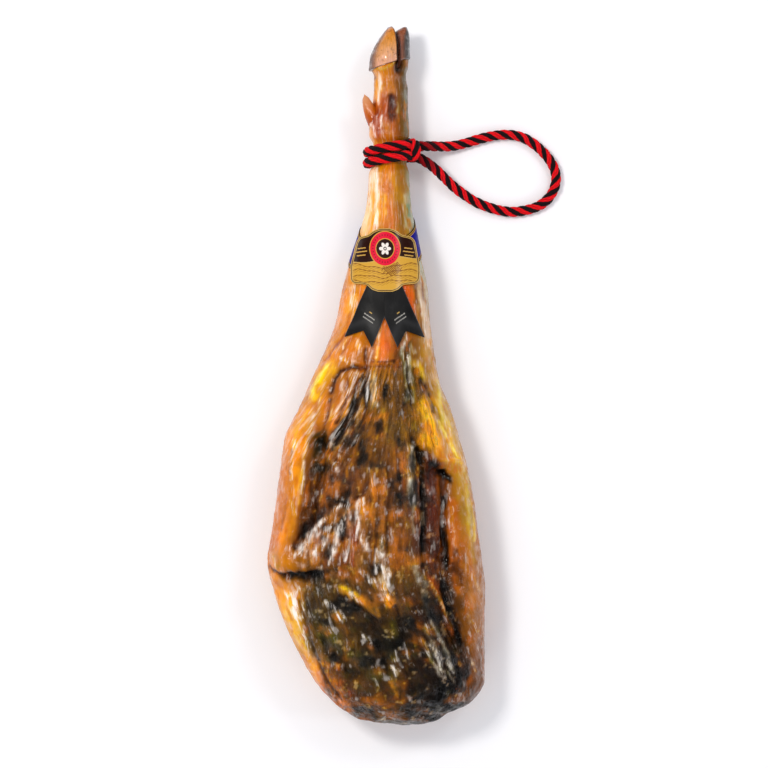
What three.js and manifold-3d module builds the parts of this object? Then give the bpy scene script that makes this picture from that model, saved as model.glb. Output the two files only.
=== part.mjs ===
// A whole cured ham on the bone, lying skin side down with its cut side up: the leg with its two
// horn claws, a twisted rope hitched round the shank with a carrying loop, a sash round the shank,
// a shaped label card on it and a folded satin ribbon under the card.
// Millimetres. +Y runs from the rump to the hoof, +X across, +Z up from the surface it lies on.
import * as THREE from 'three';
import { mergeVertices } from 'three/addons/utils/BufferGeometryUtils.js';
import Module from 'manifold-3d';

const wasm = await Module();
wasm.setup();

// ---------------------------------------------------------------- driving dimensions
const LENGTH = 805;             // from the rump to the claws' tips
const WIDTH = 250.6;            // across the rump
const TABLE_LENGTH = 805;       // the length and width that the tables below are written for
const TABLE_WIDTH = 250.6;
const GAP = 0.35;               // clearance between pieces that touch
const LEG_SIDES = 36;           // facets round the leg
const LEG_STEP = 14;            // spacing of the leg's rings along its length
const END_STEP = 5;             // the same near the rounded rump end
const END_LENGTH = 30;          // length of that rounded end
const HITCH_RINGS = [234, 240, 244, 250, 255.5, 261, 267, 271, 277];  // where the rope bites in
const RING_CLEARANCE = 4;       // other rings keep this far from those
const UPPER_POWER = 2.15;       // squareness of the upper half of a section (2 is an ellipse)
const LOWER_POWER = 2.1;        // squareness of the lower half
const FLOOR = 0;                // the skin is pressed flat where the ham lies on it
const RELIEF_FADE = 0.7;        // how soon the lumps and creases die out down the sides

const ROPE_RADIUS = 6;
const ROPE_SIDES = 10;
const TURN_TILT = 4.3;          // how much further up the shank a turn runs at its right side
const TURN_MIDDLE = 255.6;      // where the two turns sit along the shank
const TURN_FROM = -50;          // degrees round the shank, 0 at the right and 90 on top
const TURN_TO = -340;
const TURN_STEPS = 20;
const LOOP_STEPS = 44;
const LOOP_LEAD = 6;            // straight stretch of the loop where it leaves a turn
const LOOP_GAP = 0.8;           // clearance of the loop's ends to the turns' ends
const BIGHT_ARC = 4;            // degrees over which the turns' heading at the bight is taken

const CORONET_Y = 352;          // where the horn starts on the left of the foot
const CORONET_TILT = 17;        // degrees by which that line climbs to the right
const CORONET_SHARE = 0.3;      // where the line crosses the middle, as a share of the half width
const CLEFT_X = 26;             // the cleft between the claws, on top of the foot
const CLEFT_Z = 60;
const CLEFT_LEAN = 24;          // degrees from upright
const CLEFT_WIDTH = 2;
const HOOF_SIDES = 28;
const HOOF_EXTRA = [383, 370, 357, 344];  // further rings of the horn
const TOE_STEPS = 8;
const TOE_SIDES = 12;
const CUTTER = 200;             // half size of the blocks that trim the foot

const BAND_THICKNESS = 0.8;
const BAND_HALF_WIDTH = 19;
const BAND_MIDDLE = 154;
const BAND_TILT = 5;            // the right side sits further up the shank
const BAND_DIP = 20;            // the front hangs towards the rump, as a necklace does
const BAND_STEPS = 36;

const RIBBON_THICKNESS = 0.6;
const RIBBON_WIDTH = 32;
const RIBBON_LENGTH = 76.5;       // from the fold to a tail's end, along the middle
const RIBBON_NOTCH = 14.6;        // depth of the swallow-tail notch
const RIBBON_MIDDLE_X = 9.7;
const RIBBON_FOLD_Y = 107;      // the fold's middle, under the card
const RIBBON_HALF_COLUMNS = 4;
const RIBBON_SPREAD = 22.3;      // degrees between a tail and the leg's axis

const CARD_THICKNESS = 0.8;
const CARD_MIDDLE_Y = 132;
const CARD_COLUMNS = 14;

// The leg: along Y, then its left and right edges, its underside, its top, and the height at
// which it is widest. An underside below the floor is pressed flat.
const LEG = [
  [-402.5, 24, 40, 50, 62, 56],
  [-400, 9, 53, 44, 68, 55],
  [-394.5, -22, 72, 34, 77, 54],
  [-387.5, -34.5, 85, 27, 85, 53],
  [-381, -44, 104, 20, 92, 52],
  [-368, -57.5, 117.3, 12, 101, 51],
  [-351, -71.3, 125.3, 5, 106, 50],
  [-316, -90.9, 125.3, -3, 114, 50],
  [-282, -107, 125.3, -6, 119, 51],
  [-247, -118.5, 125.3, -6, 122, 52],
  [-213, -125.3, 121.9, -6, 123, 53],
  [-178, -119.6, 117.3, -6, 123, 53],
  [-144, -115, 112.7, -6, 122, 53],
  [-109, -110.4, 105.8, -6, 120, 52],
  [-75, -105.8, 96.6, -6, 118, 51],
  [-40, -89.7, 86.3, -5, 114, 50],
  [-6, -74.8, 72.5, -3, 109, 49],
  [29, -58.7, 66.7, 0, 105, 48],
  [63, -46, 62.1, 3, 97, 46],
  [98, -39.1, 59.8, 6, 89, 45],
  [132, -29.9, 52.9, 10, 81, 44],
  [167, -18.4, 46, 14, 73, 43],
  [201, -10.4, 40.3, 17, 67, 42],
  [234, -8, 38.5, 20, 63, 41],
  [244, -3.5, 35.5, 24, 59, 41],
  [267, -3.2, 35, 24.5, 58.5, 41],
  [277, -8, 38.3, 20, 63, 41],
  [296, -8, 38, 20, 63, 41],
  [310, -4.6, 36.8, 21, 61, 41],
  [328, -2.3, 36.8, 22, 60, 41],
  [345, -2.3, 34.5, 22, 58, 41],
  [357, -7, 37, 21, 61, 41],
  [378, -7, 38, 22, 60, 41],
];

// Lumps and creases of the cut side: each follows a line across it, with a half width and a
// height, or a depth where it is negative.
const RELIEF = [
  { name: 'left skin roll', line: [[-87, -63], [-102, -132], [-106, -195]], half: 17, height: 5 },
  { name: 'left hollow', line: [[-62, -78], [-72, -132], [-82, -198]], half: 11, height: -12 },
  { name: 'flank knob', line: [[-104, -222], [-92, -222]], half: 16, height: 6 },
  { name: 'knob pit', line: [[-107, -246], [-73, -237]], half: 10, height: -11 },
  { name: 'middle muscle', line: [[4, -60], [10, -167], [14, -250]], half: 34, height: 10 },
  { name: 'inner right groove', line: [[48, -86], [52, -144], [56, -213]], half: 9, height: -8 },
  {
    name: 'outer right groove',
    line: [[72, -116], [77, -170], [76, -255], [88, -305]],
    half: 12,
    height: -12,
  },
  { name: 'right skin band', line: [[99, -121], [106, -213], [102, -305]], half: 15, height: 3 },
  { name: 'fat ledge', line: [[64, -45], [72, -95]], half: 16, height: 5 },
  { name: 'hock knuckle', line: [[-27, 24], [-26, 8]], half: 15, height: 5 },
  { name: 'hock pit', line: [[41, 2], [42, -28]], half: 11, height: -5 },
];

// The foot's horn, in the same terms as the leg.
const HOOF = [
  [402.5, 13, 36, 31, 50, 41],
  [398.5, 8, 37, 27, 55, 41],
  [390, 3.5, 38, 23, 59, 41],
  [376, -3.5, 38.6, 20, 62, 41],
  [364.5, -7.5, 39, 19, 62.5, 41],
  [350, -8, 38.5, 20, 62, 41],
  [338, -7.5, 38, 20, 61, 41],
];

// The small toes behind the foot: the line each follows and its radius there.
const DEWCLAWS = [
  { line: [[0, 286, 44], [-5, 299, 46], [-10, 312, 47], [-13.6, 325, 47]], radii: [10.5, 8.6, 5.8, 2.4] },
  { line: [[2, 284, 33], [-3, 296, 31], [-8, 308, 30], [-11.5, 319, 30]], radii: [10, 8, 5.4, 2.4] },
];

// The rope's carrying loop, from the upper turn round to the lower turn.
const LOOP_POINTS = [
  [47.5, 265.8, 27.8], [55.5, 266.2, 27.6], [65, 266.4, 24.2], [77, 266.6, 18.4],
  [90, 267.8, 12.2], [104.5, 271.4, 8.0], [117.5, 275.4, 6.6], [131, 279, 6.4],
  [145, 281.2, 6.4], [158.6, 281.2, 6.4], [171, 278.4, 6.4], [183, 271.8, 6.4],
  [194.4, 262.2, 6.4], [203.6, 251.2, 6.4], [209.2, 239.8, 6.4], [210.6, 227.8, 6.4],
  [207.4, 215.8, 6.4], [200.2, 205.4, 6.4], [189.6, 197.8, 6.4], [175.6, 193.2, 6.4],
  [159, 191.2, 6.4], [143.5, 193.2, 6.4], [130, 197.2, 6.4], [117, 202.6, 6.6],
  [103, 211.2, 7.8], [90, 220.9, 11.0], [78.5, 231.4, 16.6], [68.2, 240.8, 22.2],
  [57.5, 248.2, 26.4], [48.6, 252.6, 27.6],
];

// The card's outline from its foot to its crest: along Y, then its left and right edges.
const CARD = [
  [94, 2.8, 18.3],
  [96.5, -3.7, 24.3],
  [102, -10.2, 30.8],
  [104, -23.7, 43.3],
  [109, -26.8, 47.3],
  [120, -26.8, 47.8],
  [140.5, -22.8, 44.8],
  [152, -19.8, 42.6],
  [157.5, -15.7, 38.3],
  [159.5, -8.2, 29.4],
  [164.5, -1.2, 22.3],
  [167, 4.8, 16.3],
];

const ALONG = LENGTH / TABLE_LENGTH;
const ACROSS = WIDTH / TABLE_WIDTH;

// ---------------------------------------------------------------- curves and surfaces

/** A cubic through the stations that never overshoots them, as a function of the first column. */
function monotone(rows, column) {
  const x = rows.map((row) => row[0]);
  const y = rows.map((row) => row[column]);
  const slope = x.slice(1).map((end, i) => (y[i + 1] - y[i]) / (end - x[i]));
  const tangent = x.map((_, i) => {
    if (i === 0) return slope[0];
    if (i === slope.length) return slope[i - 1];
    const before = slope[i - 1];
    const after = slope[i];
    return before * after <= 0 ? 0 : (2 * before * after) / (before + after);
  });
  return (at) => {
    const q = Math.min(Math.max(at, x[0]), x[x.length - 1]);
    let i = 0;
    while (i < slope.length - 1 && q > x[i + 1]) i += 1;
    const h = x[i + 1] - x[i];
    const t = (q - x[i]) / h;
    const rise = y[i + 1] - y[i];
    const a = tangent[i] * h - rise;
    const b = rise - tangent[i + 1] * h;
    return y[i] + rise * t + t * (1 - t) * (a * (1 - t) + b * t);
  };
}

/** The section of a lofted body at y, as a function of the angle round it. */
function sectionsOf(rows) {
  const ordered = rows
    .map(([y, left, right, ...heights]) => [y * ALONG, left * ACROSS, right * ACROSS, ...heights])
    .sort((a, b) => a[0] - b[0]);
  const [left, right, bottom, top, waist] = [1, 2, 3, 4, 5].map((column) => monotone(ordered, column));
  const middle = (y) => (left(y) + right(y)) / 2;
  const reach = (y) => (right(y) - left(y)) / 2;
  const height = (y, angle) => {
    const s = Math.sin(angle);
    const power = 2 / (s >= 0 ? UPPER_POWER : LOWER_POWER);
    const span = s >= 0 ? top(y) - waist(y) : waist(y) - bottom(y);
    return Math.max(FLOOR, waist(y) + Math.sign(s) * span * Math.abs(s) ** power);
  };
  const across = (y, angle) => {
    const c = Math.cos(angle);
    const power = 2 / (Math.sin(angle) >= 0 ? UPPER_POWER : LOWER_POWER);
    return middle(y) + Math.sign(c) * reach(y) * Math.abs(c) ** power;
  };
  return { middle, reach, across, height, from: ordered[0][0], to: ordered.at(-1)[0] };
}

/** How far a point lies from a line of points, in plan. */
function distanceTo(line, x, y) {
  let least = Infinity;
  for (let i = 0; i + 1 < line.length; i += 1) {
    const [ax, ay] = line[i];
    const dx = line[i + 1][0] - ax;
    const dy = line[i + 1][1] - ay;
    const along = ((x - ax) * dx + (y - ay) * dy) / (dx * dx + dy * dy);
    const t = Math.min(1, Math.max(0, along));
    least = Math.min(least, Math.hypot(x - ax - t * dx, y - ay - t * dy));
  }
  return least;
}

/** The lumps and creases' height at a point of the cut side. */
function reliefAt(x, y) {
  return RELIEF.reduce((sum, { line, half, height }) => {
    const d = distanceTo(line, x / ACROSS, y / ALONG) / half;
    return sum + height * Math.exp(-d * d);
  }, 0);
}

const leg = sectionsOf(LEG);

/** A point of the leg's skin, lifted off it by a distance along its normal. */
function onLeg(y, angle, lift = 0, step = 0.02) {
  const at = (yy, aa) => {
    const upper = Math.max(0, Math.sin(aa)) ** RELIEF_FADE;
    const x = leg.across(yy, aa);
    return new THREE.Vector3(x, yy, leg.height(yy, aa) + upper * reliefAt(x, yy));
  };
  const point = at(y, angle);
  if (lift === 0) return point;
  const round = at(y, angle + step).sub(at(y, angle - step));
  const along = at(y + 1, angle).sub(at(y - 1, angle));
  const normal = along.cross(round).normalize();
  return point.addScaledVector(normal, lift);
}

/** The angle at which the leg's upper side has a given x. */
function angleAt(y, x) {
  const share = Math.min(0.999, Math.max(-0.999, (x - leg.middle(y)) / leg.reach(y)));
  const cosine = Math.sign(share) * Math.abs(share) ** (UPPER_POWER / 2);
  return Math.acos(Math.min(1, Math.max(-1, cosine)));
}

/** A closed mesh from rings of points, each ring closed on itself, with a fan at both ends. */
function ringSolid(rings) {
  const count = rings[0].length;
  const points = rings.flat();
  const faces = [];
  for (let i = 0; i + 1 < rings.length; i += 1) {
    for (let j = 0; j < count; j += 1) {
      const a = i * count + j;
      const b = i * count + ((j + 1) % count);
      faces.push(a, b, b + count, a, b + count, a + count);
    }
  }
  const centre = (ring) => ring.reduce((sum, p) => sum.add(p), new THREE.Vector3()).divideScalar(count);
  const first = points.push(centre(rings[0])) - 1;
  const last = points.push(centre(rings.at(-1))) - 1;
  const offset = (rings.length - 1) * count;
  for (let j = 0; j < count; j += 1) {
    const next = (j + 1) % count;
    faces.push(first, next, j, last, offset + j, offset + next);
  }
  return indexed(points, faces);
}

/** A closed sheet from a grid of outer points and the matching grid of inner points. */
function sheetSolid(outer, inner, closed = false) {
  const rows = outer.length;
  const columns = outer[0].length;
  const points = [...outer.flat(), ...inner.flat()];
  const faces = [];
  const id = (side, i, j) => side * rows * columns + (i % rows) * columns + j;
  const quad = (a, b, c, d) => faces.push(a, b, c, a, c, d);
  const lastRow = closed ? rows : rows - 1;
  for (let i = 0; i < lastRow; i += 1) {
    for (let j = 0; j + 1 < columns; j += 1) {
      quad(id(0, i, j), id(0, i, j + 1), id(0, i + 1, j + 1), id(0, i + 1, j));
      quad(id(1, i, j), id(1, i + 1, j), id(1, i + 1, j + 1), id(1, i, j + 1));
    }
    const end = columns - 1;
    quad(id(0, i, 0), id(0, i + 1, 0), id(1, i + 1, 0), id(1, i, 0));
    quad(id(0, i, end), id(1, i, end), id(1, i + 1, end), id(0, i + 1, end));
  }
  for (let j = 0; !closed && j + 1 < columns; j += 1) {
    const end = rows - 1;
    quad(id(0, 0, j), id(1, 0, j), id(1, 0, j + 1), id(0, 0, j + 1));
    quad(id(0, end, j), id(0, end, j + 1), id(1, end, j + 1), id(1, end, j));
  }
  return indexed(points, faces);
}

/** An indexed geometry whose faces point outwards. */
function indexed(points, faces) {
  const volume = faces.reduce((sum, _, i) => {
    if (i % 3) return sum;
    const [a, b, c] = [faces[i], faces[i + 1], faces[i + 2]].map((n) => points[n]);
    return sum + a.dot(b.clone().cross(c));
  }, 0);
  if (volume < 0) faces.reverse();
  const geometry = new THREE.BufferGeometry().setFromPoints(points);
  geometry.setIndex(faces);
  return geometry;
}

/** A manifold solid of a closed geometry. */
function solidOf(geometry) {
  const bare = geometry.clone();
  bare.deleteAttribute('normal');
  bare.deleteAttribute('uv');
  const merged = mergeVertices(bare, 1e-4);
  return new wasm.Manifold(new wasm.Mesh({
    numProp: 3,
    vertProperties: new Float32Array(merged.attributes.position.array),
    triVerts: new Uint32Array(merged.index.array),
  }));
}

/** The geometry of a manifold solid. */
function geometryOf(solid) {
  const mesh = solid.getMesh();
  const geometry = new THREE.BufferGeometry();
  geometry.setAttribute('position', new THREE.BufferAttribute(new Float32Array(mesh.vertProperties), 3));
  geometry.setIndex([...mesh.triVerts]);
  return geometry;
}

// ---------------------------------------------------------------- the leg and its claws

/** Rings of a lofted body at the given places along it. */
function loftRings(places, sides, pointAt) {
  return places.map((y) => Array.from({ length: sides }, (_, j) => pointAt(y, (2 * Math.PI * j) / sides)));
}

/** Places from one end to the other, closer together over the first stretch and at the rope. */
function placesAlong(from, to) {
  const near = Array.from({ length: END_LENGTH / END_STEP }, (_, i) => from + i * END_STEP);
  const rest = Math.round((to - from - END_LENGTH) / LEG_STEP);
  const start = from + END_LENGTH;
  const even = [...near, ...Array.from({ length: rest + 1 }, (_, i) => start + ((to - start) * i) / rest)];
  const hitch = HITCH_RINGS.map((y) => y * ALONG);
  const clear = even.filter((y) => hitch.every((other) => Math.abs(y - other) > RING_CLEARANCE));
  return [...clear, ...hitch].sort((a, b) => a - b);
}

/** Everything on one side of the coronet, the tilted line where the horn meets the skin. */
function coronetBlock(side) {
  const y = CORONET_Y * ALONG;
  const block = new THREE.BoxGeometry(CUTTER, CUTTER, CUTTER);
  block.translate(0, side * (CUTTER / 2 - GAP / 2), 0);
  block.rotateZ(THREE.MathUtils.degToRad(CORONET_TILT));
  block.translate(leg.middle(y), y + leg.reach(y) * CORONET_SHARE, 0);
  return solidOf(block);
}

/** A tapering toe along a line of points. */
function toe({ line, radii }) {
  const curve = new THREE.CatmullRomCurve3(
    line.map(([x, y, z]) => new THREE.Vector3(x * ACROSS, y * ALONG, z)));
  const frames = curve.computeFrenetFrames(TOE_STEPS, false);
  const rings = Array.from({ length: TOE_STEPS + 1 }, (_, i) => {
    const t = i / TOE_STEPS;
    const place = t * (radii.length - 1);
    const k = Math.min(radii.length - 2, Math.floor(place));
    const radius = THREE.MathUtils.lerp(radii[k], radii[k + 1], place - k);
    const centre = curve.getPointAt(t);
    return Array.from({ length: TOE_SIDES }, (_, j) => {
      const angle = (2 * Math.PI * j) / TOE_SIDES;
      return centre.clone()
        .addScaledVector(frames.normals[i], radius * Math.cos(angle))
        .addScaledVector(frames.binormals[i], radius * Math.sin(angle));
    });
  });
  return solidOf(ringSolid(rings));
}

function hamLeg() {
  const rings = loftRings(placesAlong(leg.from, leg.to), LEG_SIDES, (y, angle) => onLeg(y, angle));
  let solid = solidOf(ringSolid(rings));
  DEWCLAWS.forEach((dewclaw) => { solid = solid.add(toe(dewclaw)); });
  return geometryOf(solid.subtract(coronetBlock(1)));
}

/** One claw: the hoof on one side of the leaning cleft. */
function claw(side) {
  const hoof = sectionsOf(HOOF);
  const places = [...HOOF.map((row) => row[0]), ...HOOF_EXTRA]
    .map((y) => y * ALONG)
    .sort((a, b) => a - b);
  const rings = loftRings(places, HOOF_SIDES, (y, angle) => (
    new THREE.Vector3(hoof.across(y, angle), y, hoof.height(y, angle))));
  const away = new THREE.BoxGeometry(CUTTER, 2 * CUTTER, CUTTER);
  away.translate(side * (CUTTER / 2 - CLEFT_WIDTH / 2), 0, 0);
  away.rotateY(THREE.MathUtils.degToRad(CLEFT_LEAN));
  away.translate(CLEFT_X * ACROSS, CORONET_Y * ALONG, CLEFT_Z);
  return geometryOf(solidOf(ringSolid(rings)).subtract(solidOf(away)).subtract(coronetBlock(-1)));
}

// ---------------------------------------------------------------- the rope

const ropeSection = new THREE.Shape(
  Array.from({ length: ROPE_SIDES }, (_, i) => {
    const angle = (2 * Math.PI * i) / ROPE_SIDES;
    return new THREE.Vector2(ROPE_RADIUS * Math.cos(angle), ROPE_RADIUS * Math.sin(angle));
  }),
);

/** Rope along a curve. */
function ropeAlong(path, steps) {
  return new THREE.ExtrudeGeometry(ropeSection, { steps, extrudePath: path, bevelEnabled: false });
}

/** The middle of one turn of rope, at an angle round the shank. */
function turnPoint(place, degrees) {
  const angle = THREE.MathUtils.degToRad(degrees);
  const middle = TURN_MIDDLE * ALONG + place * (ROPE_RADIUS + GAP);
  return onLeg(middle + TURN_TILT * Math.cos(angle), angle, ROPE_RADIUS + GAP);
}

/** One turn round the shank, open on the right where the rope leaves it. */
function ropeTurn(place) {
  const points = Array.from({ length: TURN_STEPS + 1 }, (_, i) => (
    turnPoint(place, TURN_FROM + ((TURN_TO - TURN_FROM) * i) / TURN_STEPS)));
  const path = new THREE.CatmullRomCurve3(points);
  return ropeAlong(path, TURN_STEPS);
}

/** The bight that joins the ends of the two turns and holds the loop down. */
function ropeBight() {
  const [upper, lower] = [1, -1].map((place) => turnPoint(place, TURN_TO));
  const before = turnPoint(1, TURN_TO + BIGHT_ARC);
  const onward = upper.clone().sub(before).normalize();
  const across = upper.clone().sub(lower);
  const capsule = new THREE.CapsuleGeometry(ROPE_RADIUS, across.length(), 4, 12);
  capsule.applyQuaternion(new THREE.Quaternion().setFromUnitVectors(
    new THREE.Vector3(0, 1, 0), across.normalize()));
  const middle = upper.add(lower).multiplyScalar(0.5).addScaledVector(onward, ROPE_RADIUS + 2 * GAP);
  return capsule.translate(middle.x, middle.y, middle.z);
}

/** Two points of the loop where it leaves a turn, in line with it. */
function leadFrom(place) {
  const end = turnPoint(place, TURN_FROM);
  const heading = end.clone().sub(turnPoint(place, TURN_FROM - BIGHT_ARC)).normalize();
  return [LOOP_GAP, LOOP_LEAD].map((distance) => end.clone().addScaledVector(heading, distance));
}

/** The free loop, from the upper turn round to the lower. */
function ropeLoop() {
  const path = new THREE.CatmullRomCurve3([
    ...leadFrom(1),
    ...LOOP_POINTS.map((p) => new THREE.Vector3(...p)),
    ...leadFrom(-1).reverse(),
  ]);
  return ropeAlong(path, LOOP_STEPS);
}

// ---------------------------------------------------------------- the label

const BAND_LIFT = GAP;
const RIBBON_LIFT = BAND_LIFT + BAND_THICKNESS + GAP;
const CARD_LIFT = RIBBON_LIFT + RIBBON_THICKNESS + GAP;

/** The sash, a ring of stiff paper whose front dips behind the card. */
function labelBand() {
  const grid = (lift) => Array.from({ length: BAND_STEPS }, (_, i) => {
    const angle = (2 * Math.PI * i) / BAND_STEPS;
    const middle = BAND_MIDDLE * ALONG + BAND_TILT * Math.cos(angle) - BAND_DIP * Math.sin(angle);
    return [-1, 0, 1].map((edge) => onLeg(middle + edge * BAND_HALF_WIDTH, angle, lift));
  });
  return sheetSolid(grid(BAND_LIFT + BAND_THICKNESS), grid(BAND_LIFT), true);
}

/** The shaped card, bent over the top of the shank. */
function labelCard() {
  const outline = CARD.map(([y, ...edges]) => [
    y + CARD_MIDDLE_Y * (ALONG - 1), ...edges.map((x) => x + RIBBON_MIDDLE_X * (ACROSS - 1))]);
  const left = monotone(outline, 1);
  const right = monotone(outline, 2);
  const rows = outline.map((row) => row[0]);
  const grid = (lift) => rows.map((y) => Array.from({ length: CARD_COLUMNS + 1 }, (_, j) => {
    const x = THREE.MathUtils.lerp(left(y), right(y), j / CARD_COLUMNS);
    return onLeg(y, angleAt(y, x), lift);
  }));
  return sheetSolid(grid(CARD_LIFT + CARD_THICKNESS), grid(CARD_LIFT));
}

/** The ribbon: one strip folded to a point under the card, with two swallow-tails. */
function ribbon() {
  const spread = THREE.MathUtils.degToRad(RIBBON_SPREAD);
  const half = RIBBON_WIDTH / 2;
  const columns = Array.from({ length: 2 * RIBBON_HALF_COLUMNS + 1 }, (_, i) => i / RIBBON_HALF_COLUMNS - 1);
  const reachOf = (share) => RIBBON_LENGTH - RIBBON_NOTCH * (1 - Math.abs(share));
  const rows = [-1, -0.85, -0.7, -0.55, -0.4, -0.25, -0.1, 0, 0.1, 0.25, 0.4, 0.55, 0.7, 0.85, 1];
  const plan = (row, share) => {
    const apex = RIBBON_FOLD_Y * ALONG + (share * half) / Math.sin(spread);
    const down = share * half / Math.tan(spread) + reachOf(share);
    const along = Math.abs(row) * down;
    const x = RIBBON_MIDDLE_X * ACROSS + Math.sign(row) * along * Math.sin(spread);
    return [x, apex - along * Math.cos(spread)];
  };
  const grid = (lift) => rows.map((row) => columns.map((share) => {
    const [x, y] = plan(row, share);
    return onLeg(y, angleAt(y, x), lift);
  }));
  return sheetSolid(grid(RIBBON_LIFT + RIBBON_THICKNESS), grid(RIBBON_LIFT));
}

// ---------------------------------------------------------------- the object

const finish = {
  ham: new THREE.MeshStandardMaterial({ color: 0x9a5a26, roughness: 0.35, metalness: 0 }),
  horn: new THREE.MeshStandardMaterial({ color: 0xb4713a, roughness: 0.4, metalness: 0 }),
  rope: new THREE.MeshStandardMaterial({ color: 0xb01818, roughness: 0.85, metalness: 0 }),
  sash: new THREE.MeshStandardMaterial({ color: 0x14149a, roughness: 0.45, metalness: 0 }),
  card: new THREE.MeshStandardMaterial({ color: 0xc0953c, roughness: 0.35, metalness: 0.1 }),
  ribbon: new THREE.MeshStandardMaterial({ color: 0x262626, roughness: 0.45, metalness: 0 }),
};

const pieces = [
  ['ham_leg', hamLeg(), finish.ham],
  ['claw_left', claw(1), finish.horn],
  ['claw_right', claw(-1), finish.horn],
  ['rope_turn_upper', ropeTurn(1), finish.rope],
  ['rope_turn_lower', ropeTurn(-1), finish.rope],
  ['rope_bight', ropeBight(), finish.rope],
  ['rope_loop', ropeLoop(), finish.rope],
  ['label_band', labelBand(), finish.sash],
  ['label_card', labelCard(), finish.card],
  ['ribbon', ribbon(), finish.ribbon],
];

const ham = new THREE.Group();
pieces.forEach(([name, geometry, material]) => {
  const mesh = new THREE.Mesh(geometry, material);
  mesh.name = name;
  ham.add(mesh);
});

export default ham;
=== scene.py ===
"""A whole dry-cured ham on the bone, lying cut side up on a pale studio floor.

The leg, its horn claws, the twisted rope with its carrying loop, the sash, the shaped card and
the folded ribbon are rebuilt as fine surfaces in the frame of the CAD model. Tables are in
millimetres; every mesh is in metres, +Y from the rump to the hoof, +Z up from the floor.
"""

import logging
import math
from dataclasses import dataclass, field
from enum import Enum

import bpy
import numpy as np
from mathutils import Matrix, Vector


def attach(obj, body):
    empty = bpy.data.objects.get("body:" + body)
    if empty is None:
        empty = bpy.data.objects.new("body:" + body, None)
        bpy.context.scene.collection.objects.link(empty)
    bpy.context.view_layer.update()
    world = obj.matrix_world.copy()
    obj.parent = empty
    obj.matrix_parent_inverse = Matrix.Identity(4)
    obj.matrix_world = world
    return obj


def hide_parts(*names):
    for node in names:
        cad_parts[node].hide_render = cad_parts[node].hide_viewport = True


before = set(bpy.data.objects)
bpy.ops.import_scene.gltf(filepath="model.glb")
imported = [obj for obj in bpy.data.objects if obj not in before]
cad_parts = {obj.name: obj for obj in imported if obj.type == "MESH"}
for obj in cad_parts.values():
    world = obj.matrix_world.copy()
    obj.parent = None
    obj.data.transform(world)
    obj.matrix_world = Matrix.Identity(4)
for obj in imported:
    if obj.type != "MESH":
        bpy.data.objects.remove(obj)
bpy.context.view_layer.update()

LOG = logging.getLogger("ham")
MM = 0.001
Table = tuple[tuple[float, ...], ...]


class Slot(Enum):
    """Material slots of the CAD record."""

    MEAT = "cured_meat"
    HORN = "horn"
    ROPE = "rope"
    SASH = "sash_paper"
    CARD = "label_print"
    SATIN = "satin"


# ---------------------------------------------------------------- numeric helpers


def srgb(code: str) -> np.ndarray:
    """Turn a six-digit colour code into three sRGB values.

    Args:
        code: Hexadecimal red, green and blue.

    Returns:
        Three values from 0 to 1, still gamma encoded.
    """
    return np.array([int(code[i : i + 2], 16) / 255 for i in (0, 2, 4)])


def linear(colour: np.ndarray) -> np.ndarray:
    """Decode sRGB values.

    Args:
        colour: Gamma encoded values.

    Returns:
        Linear values.
    """
    colour = np.clip(colour, 0, 1)
    return np.where(colour <= 0.04045, colour / 12.92, ((colour + 0.055) / 1.055) ** 2.4)


def rgba(code: str) -> tuple[float, float, float, float]:
    """Turn a colour code into a shader colour.

    Args:
        code: Hexadecimal red, green and blue.

    Returns:
        Linear red, green, blue and full alpha.
    """
    return (*(float(c) for c in linear(srgb(code))), 1.0)


def ramp(value: np.ndarray, low: float, high: float) -> np.ndarray:
    """Smooth step from 0 at low to 1 at high.

    Args:
        value: Where to evaluate it.
        low: Start of the step; it may lie above high for a falling step.
        high: End of the step.

    Returns:
        Values from 0 to 1.
    """
    t = np.clip((value - low) / (high - low), 0, 1)
    return t * t * (3 - 2 * t)


def lattice_noise(points: np.ndarray, seed: int, octaves: int, cell: tuple = (1, 1, 1)) -> np.ndarray:
    """Fractal value noise: random lattice values joined by a smooth trilinear blend.

    Args:
        points: N by 3 coordinates.
        seed: Seed of the lattice values.
        octaves: Number of layers, each half the size and weight of the one before.
        cell: Size of a cell of the coarsest lattice.

    Returns:
        N values from about -1 to 1.
    """
    size, shift = 32, 7.3
    points = points * (1 / np.array(cell, float))
    table = np.random.default_rng(seed).uniform(-1, 1, (size, size, size))
    total, weight, gain = np.zeros(len(points)), 0.0, 1.0
    for layer in range(octaves):
        where = points * 2.0**layer + shift * layer
        cell = np.floor(where).astype(int)
        t = where - cell
        t = t * t * (3 - 2 * t)
        near, far = cell % size, (cell + 1) % size
        value = np.zeros(len(points))
        for corner in range(8):
            pick = [(far if corner >> k & 1 else near)[:, k] for k in range(3)]
            share = np.prod([t[:, k] if corner >> k & 1 else 1 - t[:, k] for k in range(3)], axis=0)
            value += share * table[pick[0], pick[1], pick[2]]
        total += gain * value
        weight += gain
        gain *= 0.5
    return total / weight


def monotone(rows: Table, column: int):
    """A cubic through stations that never overshoots them.

    Args:
        rows: Stations in rising order of their first column.
        column: The column to follow.

    Returns:
        A function of the first column, over arrays.
    """
    data = np.array(rows, float)
    x, y = data[:, 0], data[:, column]
    slope = np.diff(y) / np.diff(x)
    before, after = slope[:-1], slope[1:]
    same = before * after > 0
    inner = np.where(same, 2 * before * after / np.where(same, before + after, 1), 0)
    tangent = np.concatenate([slope[:1], inner, slope[-1:]])

    def at(q: np.ndarray) -> np.ndarray:
        q = np.clip(q, x[0], x[-1])
        i = np.clip(np.searchsorted(x, q, side="right") - 1, 0, len(slope) - 1)
        h = x[i + 1] - x[i]
        t, rise = (q - x[i]) / h, y[i + 1] - y[i]
        a, b = tangent[i] * h - rise, rise - tangent[i + 1] * h
        return y[i] + rise * t + t * (1 - t) * (a * (1 - t) + b * t)

    return at


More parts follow.
